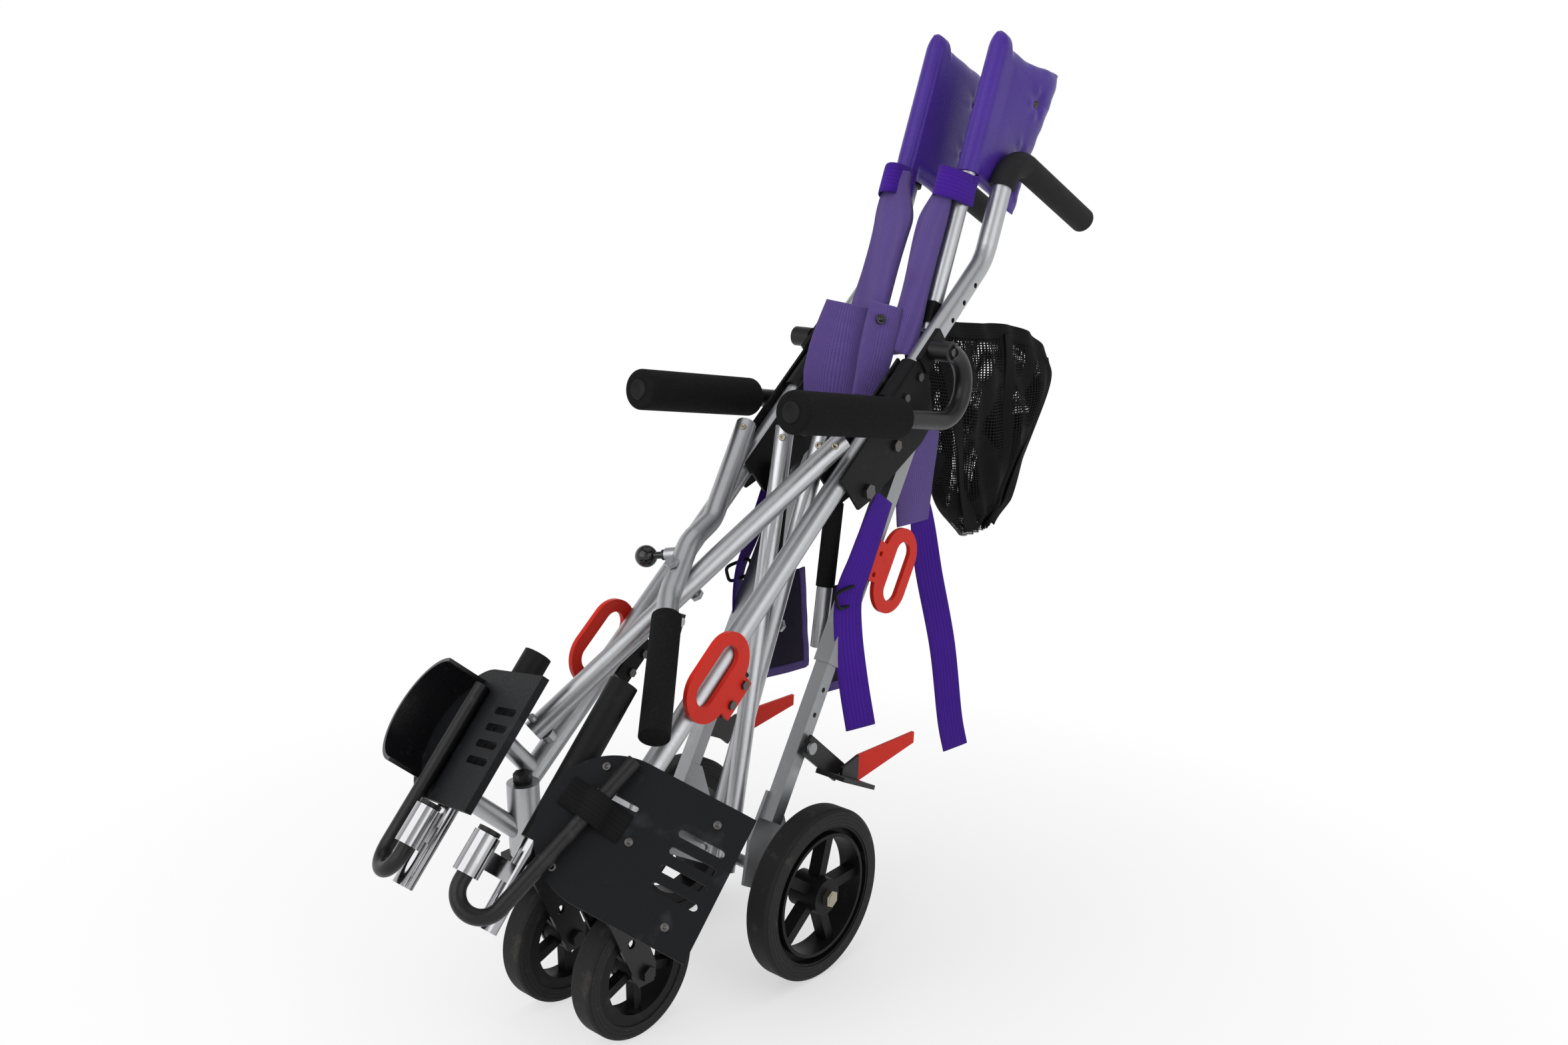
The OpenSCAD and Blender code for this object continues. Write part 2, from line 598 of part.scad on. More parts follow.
// Armrest: a looped tube on the block bolt with a foam grip
module on_arm() translate([arm_x, main_y(arm_s, arm_q), main_z(arm_s, arm_q)])
    rotate([-100, 0, 0]) children();
module arm_tube_side() color(black) in_frame() difference() {
    union() {
        on_arm() arc_down(arm_r, arm_loop, 180) straight(arm_r, arm_run + arm_foam_len - 6);
        on_main(plate_out + plate_t + 3 + run_gap, arm_s, arm_q)
            across(0, 12, arm_x - plate_out - plate_t - 3 - run_gap + 6);
    }
    on_main(side_x, arm_s, arm_q) across(0, 5, 60);
}
module left_arm_tube() arm_tube_side();
module right_arm_tube() other() arm_tube_side();
module arm_grip_side() color(black) in_frame() on_arm()
    translate([0, 2 * arm_loop, 0]) rotate([180, 0, 0]) translate([0, 0, arm_run]) difference() {
        union() {
            cylinder(r = arm_foam_d / 2 - 5, h = arm_foam_len);
            translate([0, 0, 5]) cylinder(r = arm_foam_d / 2, h = arm_foam_len - 10);
            translate([0, 0, 5]) rotate_extrude() translate([arm_foam_d / 2 - 5, 0]) circle(r = 5);
            translate([0, 0, arm_foam_len - 5]) rotate_extrude() translate([arm_foam_d / 2 - 5, 0]) circle(r = 5);
        }
        translate([0, 0, -1]) cylinder(r = arm_r + 0.2, h = arm_foam_len - 2);
    }
module left_arm_grip() arm_grip_side();
module right_arm_grip() other() arm_grip_side();

// Chrome leg rest tube with the collar of the footplate
module rest_tube_side(turn) color(chrome) in_frame() difference() {
    union() {
        on_rest(rest_len) difference() {
            cylinder(r = rest_r, h = rest_len - 8);
            translate([0, 0, -1]) cylinder(r = rest_r - tube_wall, h = rest_len - 60);
        }
        on_foot(collar_u, collar_n, collar_v + 20, turn) cylinder(r = foot_tube_r + 5, h = 40);
        on_foot(0, 0, collar_v + 9, turn) rotate([0, 0, -atan2(collar_n, collar_u)])
            translate([rest_r - 2, -6, 0]) cube([norm([collar_u, collar_n]) - rest_r - foot_tube_r, 12, 18]);
    }
    on_foot(collar_u, collar_n, collar_v + 21, turn) cylinder(r = foot_tube_r + pin_gap, h = 42);
}
module left_rest_tube() rest_tube_side(foot_swing);
module right_rest_tube() other() rest_tube_side(foot_swing_right);

// Black bent tube under a footplate
module foot_tube_side(turn, bend) color(black) in_frame() on_foot(collar_u, collar_n, collar_v - 21, turn) {
    translate([0, 0, -48]) straight(foot_tube_r, 48);
    cylinder(r = foot_tube_r + 3, h = 4);
    translate([0, 0, -48]) rotate([180, 0, 0]) rotate([0, 0, 90]) arc_up(foot_tube_r, 22, bend)
        straight(foot_tube_r, 178);
}
module left_foot_tube() foot_tube_side(foot_swing, 166);
module right_foot_tube() other() foot_tube_side(foot_swing_right, 180);

// Footplate with a round heel end, toe slots and a foot loop standing on one face
module foot_outline() {
    half = foot_w / 2;
    translate([half - 28, -half]) square([foot_len - half, foot_w]);
    translate([half - 28, 0]) circle(r = half);
}
module foot_slab() difference() {
    linear_extrude(foot_t) foot_outline();
    for (i = [0 : 3]) translate([foot_len - 64, -24 + 18 * i, -1]) linear_extrude(foot_t + 2) stadium(48, 8);
    translate([34, 30, -1]) linear_extrude(foot_t + 2) stadium(44, 6);
}
module foot_loop(low) translate([loop_u, 0, low]) difference() {
    cylinder(r = foot_w / 2 - 14, h = loop_w);
    translate([0, 0, -1]) cylinder(r = foot_w / 2 - 18, h = loop_w + 2);
    translate([-foot_w, -foot_w, -1]) cube([foot_w, 2 * foot_w, loop_w + 2]);
}
module left_footplate() color(black) in_frame() on_foot(foot_shift, foot_n, 134, foot_swing) rotate([90, 0, 0]) {
    foot_slab();
    foot_loop(0.5 - loop_w);
}
module right_footplate() color(black) in_frame() flip() on_foot(0, foot_n, 106, foot_swing_right)
    rotate([90, 0, 0]) {
        translate([foot_len - 125, 0, 0]) mirror([1, 0, 0]) foot_slab();
        foot_loop(foot_t - 0.5);
    }

// Seat rail with its mesh sleeve, hanging from the knee
module seat_rail_side() color(grey) in_frame() difference() {
    union() {
        on_rail(rail_x, 0, -rail_len) cylinder(r = rail_r, h = rail_len + 14);
        on_rail(rail_x, 0, -118) cylinder(r = sleeve_r, h = 98);
    }
    on_rail(rail_x, 0, -rail_len - 1) cylinder(r = rail_r - tube_wall, h = rail_len - 24);
    on_main(side_x, seat_s, seat_q) across(-60, hip_r, 60);
}
module left_seat_rail() seat_rail_side();
module right_seat_rail() other() seat_rail_side();

// Hanging half of the mesh seat beside each rail
module seat_panel_side() color(purple) in_frame() difference() {
    on_rail(rail_x, 0, 0) rotate([90, 0, 90]) translate([0, 0, -2]) linear_extrude(4)
        polygon([[-12, -120], [58, -112], [92, -246], [-12, -236]]);
    on_rail(rail_x, 0, -rail_len - 0.4) cylinder(r = rail_r + 0.3, h = 76);
    on_rail(rail_x, 0, -118.4) cylinder(r = sleeve_r + 0.3, h = 20);
}
module left_seat_panel() seat_panel_side();
module right_seat_panel() other() seat_panel_side();

// Rear cross tubes, pinned at their feet and bolted together where they cross
module cross_tube(side, pin) color(silver) in_frame() on_cross() translate([0, -side * cross_off, 0])
    rotate([0, -side * cross_turn, 0]) difference() {
        translate([0, 0, -cross_low - 13]) cylinder(r = cross_r, h = cross_low + cross_high + 13);
        translate([0, 0, -cross_low - 14]) cylinder(r = cross_r - tube_wall, h = cross_low + cross_high + 10);
        translate([0, 0, -cross_low]) rotate([90, 0, 0]) cylinder(r = 4 + pin_gap, h = 60, center = true);
        rotate([90, 0, 0]) cylinder(r = pin, h = 60, center = true);
    }
module rear_cross_left() {
    cross_tube(1, 4);
    color(grey) in_frame() on_cross() rotate([90, 0, 0]) {
        translate([0, 0, -cross_off - cross_r - 8]) cylinder(r = 4 - pin_gap, h = 2 * cross_d + 17);
        translate([0, 0, cross_off + cross_r + 0.6]) cylinder(r = 8, h = 5, $fn = 6);
        translate([0, 0, -cross_off - cross_r - 7]) cylinder(r = 8, h = 5, $fn = 6);
    }
}
module rear_cross_right() cross_tube(-1, 4);

// Front cross tube, pinned to the right side frame
module on_front() flip() on_main(front_low_x, -front_low, front_q) rotate([0, -front_turn, 0]) children();
module front_cross() color(silver) in_frame() {
    difference() {
        on_front() difference() {
            translate([0, 0, -9.5]) cylinder(r = front_r, h = front_len + 9.5);
            translate([0, 0, -11]) cylinder(r = front_r - tube_wall, h = front_len + 7);
        }
        on_front() rotate([90, 0, 0]) cylinder(r = 4 + pin_gap, h = 60, center = true);
        on_front() translate([0, 0, front_meet]) rotate([90, 0, 0]) cylinder(r = 4, h = 60, center = true);
    }
    on_front() translate([0, 0, front_meet]) rotate([90, 0, 0]) {
        translate([0, 0, -front_r - 9]) cylinder(r = 4 - pin_gap, h = front_d + jog_rise + 18);
        translate([0, 0, -front_r - 8]) cylinder(r = 8, h = 5, $fn = 6);
        translate([0, 0, jog_rise + front_r + 1]) cylinder(r = 8, h = 5, $fn = 6);
    }
    at_stay() {
        across(-7, 3, 12);
        translate([2.2, -stay_drop - 5, -6]) cube([5, stay_drop + 11, 12]);
        across(-7, 5, 4.8);
    }
}
module at_stay() on_front() translate([0, front_r + stay_drop, front_meet - 34]) rotate([0, front_turn, 0]) children();

// Fold lever, crossing over the front cross tube
module on_lever() flip() on_main(front_high_x, -front_high, front_q) rotate([0, 180 + front_turn, 0])
    mirror([1, 0, 0]) children();
module lever_path(r) on_lever() {
    rotate([0, 0, 63]) cylinder(r = r, h = lever_top + lap);
    translate([0, 0, lever_top]) arc_up(r, jog_r, jog_turn) {
        straight(r, jog_mid);
        translate([0, 0, jog_mid]) arc_down(r, jog_r, jog_turn) {
            straight(r, 56);
            translate([0, 0, 56]) lever_tail_at() arc_up(r, 60, lever_bend) straight(r, lever_tail);
        }
    }
}
module lever_tail_at() rotate([0, 0, -90]) children();
module at_tail() on_lever() translate([0, -jog_rise, lever_top + jog_len + 56]) lever_tail_at()
    translate([0, -60 * (1 - cos(lever_bend)), 60 * sin(lever_bend)]) rotate([lever_bend, 0, 0]) children();
module at_knob() on_lever() translate([0, -jog_rise, lever_top + jog_len + 4]) rotate([0, 90, 0]) children();
module fold_lever() color(silver) in_frame() difference() {
    union() {
        difference() {
            lever_path(front_r);
            at_tail() translate([0, 0, 6]) rotate([0, 0, 37]) cylinder(r = front_r - tube_wall, h = lever_tail);
        }
        at_knob() translate([0, 0, front_r - 3]) cylinder(r = 7.5, h = 14);
    }
    on_lever() translate([0, -jog_rise, lever_down]) rotate([90, 0, 0])
        cylinder(r = 4, h = 60, center = true);
    at_knob() cylinder(r = 4 + pin_gap, h = 60);
}

// Foam grip on the lever's lower end
module lever_grip() color(black) in_frame() at_tail() translate([0, 0, lever_tail - foam_len + 6]) difference() {
    cylinder(r = foam_d / 2, h = foam_len);
    translate([0, 0, -1]) cylinder(r = front_r + 0.2, h = foam_len - 2);
}

// Sprung locking knob
module lever_knob() color(black) in_frame() at_knob() {
    translate([0, 0, 1]) cylinder(r = 4, h = 44);
    translate([0, 0, front_r + 11 + run_gap]) cylinder(r = 6, h = 4);
    translate([0, 0, 50]) sphere(r = 12.4);
}

// Mesh bag hanging behind the posts
module mesh_bag() color(black) in_frame() hull() {
    half = post_x - post_r - 5;
    side_plate([[300, 728], [344, 716], [640, 640], [652, 590], [520, 410], [470, 398], [368, 470]],
               -half, 2 * half);
    side_plate([[372, 660], [600, 610], [500, 440], [400, 500]], -40, 80);
}

// Webbing strap over the left rear leg
module leg_strap() color(purple) in_frame()
    side_plate([[146, 536], [168, 522], [104, 424], [122, 262], [94, 260], [76, 424]],
               side_x + leg_w / 2 + 0.6, 2.5);

// Flat stay link on the underside of the front cross tube
module stay_link() color(black) in_frame() at_stay() rotate([26, 0, 0]) difference() {
    translate([-1.5, -9, -128]) cube([3, 18, 137]);
    across(-4, 3 + pin_gap, 8);
}

left_main_tube();
right_main_tube();
left_back_post();
right_back_post();
left_bracket();
right_bracket();
left_frame_bolts();
right_frame_bolts();
left_rest_holder();
right_rest_holder();
left_push_grip();
right_push_grip();
left_front_tiedown();
right_front_tiedown();
left_head_pad();
right_head_pad();
left_back_canvas();
right_back_canvas();
left_rear_leg();
right_rear_leg();
left_leg_lower();
right_leg_lower();
left_rear_tiedown();
right_rear_tiedown();
left_rear_tyre();
right_rear_tyre();
left_rear_rim();
right_rear_rim();
left_brake_lever();
right_brake_lever();
left_caster_fork();
right_caster_fork();
left_caster_tyre();
right_caster_tyre();
left_caster_rim();
right_caster_rim();
left_arm_tube();
right_arm_tube();
left_arm_grip();
right_arm_grip();
left_rest_tube();
right_rest_tube();
left_foot_tube();
right_foot_tube();
left_footplate();
right_footplate();
left_seat_rail();
right_seat_rail();
left_seat_panel();
right_seat_panel();
rear_cross_left();
rear_cross_right();
front_cross();
fold_lever();
lever_grip();
lever_knob();
mesh_bag();
leg_strap();
stay_link();
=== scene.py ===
"""Looks of a folding special needs buggy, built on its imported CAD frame.

Lengths in the shape functions are buggy millimetres: x from the fold plane to the left, y behind the
rear axle and z above the floor, with the side frames level. stand() turns them into the row frame."""

import json
import math

import bpy
import numpy as np
from mathutils import Matrix


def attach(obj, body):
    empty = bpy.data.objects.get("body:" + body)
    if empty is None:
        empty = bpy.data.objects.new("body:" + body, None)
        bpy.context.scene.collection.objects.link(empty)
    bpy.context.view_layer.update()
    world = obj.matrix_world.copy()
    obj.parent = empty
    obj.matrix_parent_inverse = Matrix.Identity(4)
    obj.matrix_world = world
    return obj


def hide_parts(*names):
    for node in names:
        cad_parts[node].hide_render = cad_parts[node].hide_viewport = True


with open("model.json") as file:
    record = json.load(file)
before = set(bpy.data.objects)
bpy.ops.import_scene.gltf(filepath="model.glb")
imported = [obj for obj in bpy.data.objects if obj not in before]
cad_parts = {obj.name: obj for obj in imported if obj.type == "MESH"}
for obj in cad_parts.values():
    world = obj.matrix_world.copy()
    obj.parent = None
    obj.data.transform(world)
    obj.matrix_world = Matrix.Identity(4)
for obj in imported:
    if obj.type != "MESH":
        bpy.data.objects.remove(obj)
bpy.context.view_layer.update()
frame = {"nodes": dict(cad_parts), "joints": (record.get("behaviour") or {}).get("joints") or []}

bl_info = {
    "name": "Folding buggy looks",
    "version": (1, 0, 0),
    "blender": (4, 5, 0),
    "location": "View3D > Sidebar > Buggy",
    "description": "Soft pieces, small fittings, finishes and studio of a folded special needs buggy",
    "category": "Object",
}

JOINTS = {joint["name"]: joint for joint in frame["joints"]}
LEFT_HUB = np.array(JOINTS["left_wheel_spin"]["pos_m"])
RIGHT_HUB = np.array(JOINTS["right_wheel_spin"]["pos_m"])
FOLD_X = (LEFT_HUB[0] + RIGHT_HUB[0]) / 2
STAND_PITCH = math.radians(4.2)
POST_LEAN = math.radians(23)
RAIL_LEAN = math.radians(9.5)
REST_TILT = math.radians(44)
VIEW_TURN = math.radians(40.307)
VIEW_DIP = math.radians(14.583)
FOOT_TURN = {"left": 38, "right": 20}
SIDES = {"left": 1, "right": -1}

# Places and sizes in buggy millimetres
POST_FOOT = (46, 296.10, 725.31)
RAIL_PIVOT = (41.8, 119.77, 542.63)
REST_FOOT = (64, -242, 411)
EYE = (1049.51, -1161.34, 922.39)
SLAB_FACES = (16.5, 24.5)
PAD_REAR = 125
SNAP_BACK = 90
SNAP_HEIGHTS = (236, 306)
LOOP_HEIGHT = 157
BUCKLE = (83.6, 91, 424)
BAG_HALF = 27.0
LINING_HALF = 25.6
ARM_END = (111.0, -43.4, 658.5)

# Lengths in metres, measured on the CAD pieces
FRONT_ABOVE = 0.236
REAR_ABOVE = 0.229
REAR_APART = 0.023
BRAKE_SLEEVE = 0.075
BARE_RAIL = 0.068
AXLE_NUT = 0.013


# Placing

def turned(points):
    """Turns directions or metre points about X by the pitch at which the folded buggy stands."""
    p = np.asarray(points, float)
    c, s = math.cos(STAND_PITCH), math.sin(STAND_PITCH)
    return np.stack([p[..., 0], p[..., 1] * c - p[..., 2] * s, p[..., 1] * s + p[..., 2] * c], -1)


def stand(points):
    """Row frame metres of buggy millimetres: turned about the rear axle, then moved to the axle's place."""
    p = np.asarray(points, float) / 1000 - np.array([0, 0, LEFT_HUB[2]])
    return turned(p) + np.array([FOLD_X, LEFT_HUB[1], LEFT_HUB[2]])


def stacked(*parts):
    """Coordinates given as separate arrays, broadcast and stacked into points."""
    return np.stack(np.broadcast_arrays(*parts), -1).astype(float)


def on_post(a, b, t, side):
    """Back post frame: a outwards from the post's axis, b behind it and t up along it."""
    c, s = math.cos(POST_LEAN), math.sin(POST_LEAN)
    x, y, z = POST_FOOT
    return stand(stacked(side * (x + a), y + b * c + t * s, z - b * s + t * c))


def on_rail(a, b, t, side):
    """Seat rail frame: a outwards from the rail's axis, b behind it and t up along it from its pivot."""
    c, s = math.cos(RAIL_LEAN), math.sin(RAIL_LEAN)
    x, y, z = RAIL_PIVOT
    return stand(stacked(side * (x + a), y + b * c + t * s, z - b * s + t * c))


def on_foot(u, n, v, turn, side):
    """Footplate frame: u across the leg rest, n away from it and v down along it, swung by turn degrees."""
    c, s = math.cos(math.radians(turn)), math.sin(math.radians(turn))
    across, back = u * c + n * s, u * s - n * c
    up_c, up_s = math.cos(REST_TILT), math.sin(REST_TILT)
    x, y, z = REST_FOOT
    return stand(stacked(side * (x + across), y + back * up_c - v * up_s, z - back * up_s - v * up_c))


def way_of(place, step, *where):
    """Direction in the row frame of a step in one of the placing frames."""
    return unit(place(*step, *where) - place(0.0, 0.0, 0.0, *where))


# Shapes

def even_turns(n):
    """Angles of n even steps round a circle."""
    return np.linspace(0, 2 * np.pi, n, endpoint=False)


def power(x, exponent):
    """x to a power with its sign kept: the side of a superellipse."""
    return np.sign(x) * np.abs(x) ** exponent


def smooth(x, low, high):
    """Rises from 0 at low to 1 at high with no corner."""
    t = np.clip((np.asarray(x, float) - low) / (high - low), 0, 1)
    return t * t * (3 - 2 * t)


def curve(knots, n):
    """n points on a Catmull-Rom curve through the knots: each span is a cubic set by four knots in a row."""
    k = np.asarray(knots, float)
    k = np.vstack([2 * k[0] - k[1], k, 2 * k[-1] - k[-2]])
    t = np.linspace(0, len(k) - 3, n)
    i = np.minimum(t.astype(int), len(k) - 4)
    f = (t - i)[:, None]
    a, b, c, d = k[i], k[i + 1], k[i + 2], k[i + 3]
    return 0.5 * (2 * b + (c - a) * f + (2 * a - 5 * b + 4 * c - d) * f**2 + (3 * b - a - 3 * c + d) * f**3)


def unit(vectors):
    """Vectors divided by their length."""
    return vectors / np.maximum(np.linalg.norm(vectors, axis=-1, keepdims=True), 1e-12)


def sweep(path, across, outline):
    """An outline of (x, y) carried along a path: x runs along across made square to the path, y along the
    normal of both. Gives rows of points in the path's unit."""
    path = np.asarray(path, float)
    ahead = unit(np.gradient(path, axis=0))
    across = np.broadcast_to(np.asarray(across, float), path.shape)
    across = unit(across - ahead * (across * ahead).sum(-1, keepdims=True))
    normal = np.cross(ahead, across)
    outline = np.asarray(outline, float)
    if outline.ndim == 2:
        outline = np.broadcast_to(outline, (len(path), *outline.shape))
    return path[:, None] + outline[..., :1] * across[:, None] + outline[..., 1:] * normal[:, None]


def flat_band(width, thick, n=20):
    """Outline of flat webbing: a superellipse, wide along x and thin along y."""
    a = even_turns(n)
    return np.stack([width / 2 * power(np.cos(a), 0.35), thick / 2 * power(np.sin(a), 0.5)], -1)


def circle(radius, n=16):
    """Outline of a round rod."""
    a = even_turns(n)
    return radius * np.stack([np.cos(a), np.sin(a)], -1)


def lathe(centre, axis, profile, n=28):
    """A profile of (radius, height) turned about an axis through centre: ring i lies at height i."""
    axis = unit(np.asarray(axis, float))
    side = unit(np.cross(axis, [0.31, 0.57, 0.76]))
    other = np.cross(axis, side)
    a = even_turns(n)[None, :, None]
    profile = np.asarray(profile, float)
    r, h = profile[:, 0][:, None, None], profile[:, 1][:, None, None]
    return np.asarray(centre, float) + h * axis + r * (np.cos(a) * side + np.sin(a) * other)


def build(name, rows, body, finish, wrap=True, ends="fan", loop=False, size=None, wall=0.0, sub=0):
    """A mesh over rows of points. wrap closes each row, loop joins the last row to the first, and ends
    closes the first and last rows by a fan to their middle, by a strip across a flat loop, or not at all.
    size gives the UV map's metres across and along. wall adds a Solidify and sub a Subdivision Surface."""
    rows = np.asarray(rows, float)
    n, m = rows.shape[:2]
    wide, tall = m - (not wrap), n - (not loop)
    i, j = (a.ravel() for a in np.meshgrid(np.arange(tall), np.arange(wide), indexing="ij"))
    i2, j2 = (i + 1) % n, (j + 1) % m
    faces = np.stack([i * m + j, i * m + j2, i2 * m + j2, i2 * m + j], -1)
    points = rows.reshape(-1, 3)
    extra, inward = [], False
    if wrap and not loop and ends == "fan":
        points = np.vstack([points, rows[0].mean(0), rows[-1].mean(0)])
        k = np.arange(m)
        k2 = (k + 1) % m
        last = (n - 1) * m
        extra = [np.stack([np.full(m, n * m), k2, k], -1),
                 np.stack([np.full(m, n * m + 1), last + k, last + k2], -1)]
    if wrap and not loop and ends == "strip":
        k = np.arange(m // 2)
        base = np.stack([k, (m - k) % m, (m - k - 1) % m, k + 1], -1)
        extra = [base[1:-1], (base + (n - 1) * m)[1:-1, ::-1]]
        tips = np.array([[0, m - 1, 1], [m // 2 - 1, m // 2 + 1, m // 2]])
        extra += [tips, tips[:, ::-1] + (n - 1) * m]
    if wrap and (loop or ends != "none"):
        corners = [faces[:, [0, 1, 2]], faces[:, [0, 2, 3]]]
        corners += [cap[:, [0, k - 1, k]] for cap in extra for k in range(2, cap.shape[1])]
        a, b, c = np.moveaxis((points - points.mean(0))[np.vstack(corners)], 1, 0)
        inward = (a * np.cross(b, c)).sum() < 0
    if inward:
        faces, extra = faces[:, ::-1], [cap[:, ::-1] for cap in extra]
    mesh = bpy.data.meshes.new(name)
    mesh.from_pydata(points.tolist(), [], [f for part in [faces, *extra] for f in part.tolist()])
    width, length = size or (0.1, 0.1)
    corner_u = np.stack([j, j + 1, j + 1, j], -1) / wide * width
    corner_v = np.stack([i, i, i + 1, i + 1], -1) / tall * length
    if inward:
        corner_u, corner_v = corner_u[:, ::-1], corner_v[:, ::-1]
    uv = np.zeros((len(mesh.loops), 2))
    uv[: corner_u.size] = np.stack([corner_u.ravel(), corner_v.ravel()], -1)
    layer = mesh.uv_layers.new(name="cloth")
    layer.data.foreach_set("uv", uv.astype(np.float32).ravel())
    mesh.polygons.foreach_set("use_smooth", np.ones(len(mesh.polygons), bool))
    mesh.validate()
    mesh.update()
    piece = bpy.data.objects.new(name, mesh)
    bpy.context.scene.collection.objects.link(piece)
    if wall:
        solid = piece.modifiers.new("wall", "SOLIDIFY")
        solid.thickness, solid.offset, solid.use_even_offset = wall, 0, False
    if sub:
        fine = piece.modifiers.new("fine", "SUBSURF")
        fine.levels = fine.render_levels = sub
    mesh.materials.append(finishes()[finish])
    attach(piece, body)
    return piece


def ring(path, across, outline):
    """sweep() along a closed path, whose tangents run on over the joint."""
    path = np.asarray(path, float)
    longer = np.vstack([path[-2:], path, path[:2]])
    return sweep(longer, across, outline)[2:-2]


# Finishes

class Net:
    """Adds nodes to a shader tree. A socket given as a value is linked, anything else is set."""

    def __init__(self, tree):
        self.tree = tree

    def node(self, kind, values=None, **settings):
        made = self.tree.nodes.new(kind)
        for key, value in settings.items():
            setattr(made, key, value)
        for key, value in (values or {}).items():
            if isinstance(value, bpy.types.NodeSocket):
                self.tree.links.new(value, made.inputs[key])
            else:
                made.inputs[key].default_value = value
        return made

    def group(self, tree, **values):
        return self.node("ShaderNodeGroup", values, node_tree=tree).outputs

    def feed(self, shader, **sockets):
        for label, socket in sockets.items():
            self.tree.links.new(socket, shader.inputs[label.replace("_", " ")])

    def math(self, operation, a, b=0.0):
        return self.node("ShaderNodeMath", {0: a, 1: b}, operation=operation).outputs[0]

    def mix(self, share, a, b):
        return self.node("ShaderNodeMix", {0: share, 6: a, 7: b}, data_type="RGBA").outputs[2]

    def span(self, value, low, high, to_low=0.0, to_high=1.0):
        made = self.node("ShaderNodeMapRange", {0: value, 1: low, 2: high, 3: to_low, 4: to_high})
        return made.outputs[0]

    def noise(self, vector, scale, detail=3.0):
        made = self.node("ShaderNodeTexNoise", {"Vector": vector, "Scale": scale, "Detail": detail})
        return made.outputs[0]


def effect(name, inputs, outputs, make):
    """A shader node group with named sockets, built once and shared by the finishes."""
    if name in bpy.data.node_groups:
        return bpy.data.node_groups[name]
    group = bpy.data.node_groups.new(name, "ShaderNodeTree")
    for label, kind in inputs:
        group.interface.new_socket(name=label, in_out="INPUT", socket_type="NodeSocket" + kind)
    for label in outputs:
        group.interface.new_socket(name=label, in_out="OUTPUT", socket_type="NodeSocketFloat")
    entry, leave = group.nodes.new("NodeGroupInput"), group.nodes.new("NodeGroupOutput")
    for label, socket in make(Net(group), entry.outputs).items():
        group.links.new(socket, leave.inputs[label])
    return group


def grain_effect():
    """Fine grain, broad unevenness and scattered scuffs from three noises of one vector."""
    def make(net, given):
        broad = net.noise(given["Vector"], given["Broad"], 4)
        rub = net.noise(given["Vector"], net.math("MULTIPLY", given["Broad"], 3.7), 9)
        return {"Grain": net.noise(given["Vector"], given["Fine"], 3), "Broad": broad,
                "Scuff": net.span(rub, 0.6, 0.74)}
    return effect("Grain and scuffs", [("Vector", "Vector"), ("Fine", "Float"), ("Broad", "Float")],
                  ["Grain", "Broad", "Scuff"], make)


def weave_effect():
    """Plain weave on the UV map: warp and weft are rounded ridges that take turns on top."""
    def make(net, given):
        part = net.node("ShaderNodeSeparateXYZ", {0: given["Vector"]}).outputs
        u = net.math("SINE", net.math("MULTIPLY", part[0], given["Threads"]))
        v = net.math("SINE", net.math("MULTIPLY", part[1], given["Threads"]))
        over = net.span(net.math("MULTIPLY", u, v), -0.15, 0.15)
        warp = net.math("ABSOLUTE", u)
        weft = net.math("ABSOLUTE", v)
        height = net.math("ADD", net.math("MULTIPLY", over, warp),
                          net.math("MULTIPLY", net.math("SUBTRACT", 1.0, over), weft))
        return {"Height": height, "Fleck": net.noise(given["Vector"], given["Threads"], 2)}
    return effect("Plain weave", [("Vector", "Vector"), ("Threads", "Float")], ["Height", "Fleck"], make)


def net_effect():
    """Open knitted net on the UV map: round holes on a square grid, thread between them."""
    def make(net, given):
        part = net.node("ShaderNodeSeparateXYZ", {0: given["Vector"]}).outputs
        u = net.math("SUBTRACT", net.math("FRACT", net.math("MULTIPLY", part[0], given["Holes"])), 0.5)
        v = net.math("SUBTRACT", net.math("FRACT", net.math("MULTIPLY", part[1], given["Holes"])), 0.5)
        away = net.math("SQRT", net.math("ADD", net.math("MULTIPLY", u, u), net.math("MULTIPLY", v, v)))
        return {"Thread": net.span(away, 0.3, 0.38)}
    return effect("Knitted net", [("Vector", "Vector"), ("Holes", "Float")], ["Thread"], make)


def rib_effect():
    """Rings about a wheel's axle: a wave of the distance from the axle, and that distance."""
    def make(net, given):
        parts = {0: given["Vector"], 1: (0, 1, 1)}
        flat = net.node("ShaderNodeVectorMath", parts, operation="MULTIPLY").outputs[0]
        radius = net.node("ShaderNodeVectorMath", {0: flat}, operation="LENGTH").outputs[1]
        wave = net.math("SINE", net.math("MULTIPLY", radius, given["Rings"]))
        return {"Ring": net.span(wave, 0.55, 0.9), "Radius": radius}
    return effect("Tyre rings", [("Vector", "Vector"), ("Rings", "Float")], ["Ring", "Radius"], make)


def start(name, values):
    """A new material with its Principled BSDF set to plain values, and a helper for its tree."""
    material = bpy.data.materials.new(name)
    material.use_nodes = True
    net = Net(material.node_tree)
    shader = material.node_tree.nodes["Principled BSDF"]
    for key, value in values.items():
        shader.inputs[key].default_value = value
    return material, net, shader


def bumped(net, shader, height, strength, distance):
    """Leads a height into the shader's normal."""
    made = net.node("ShaderNodeBump", {"Strength": strength, "Distance": distance, "Height": height})
    net.feed(shader, Normal=made.outputs[0])


def rgba(colour, share=1.0):
    """A colour as four numbers, made darker by share."""
    return (colour[0] * share, colour[1] * share, colour[2] * share, 1.0)


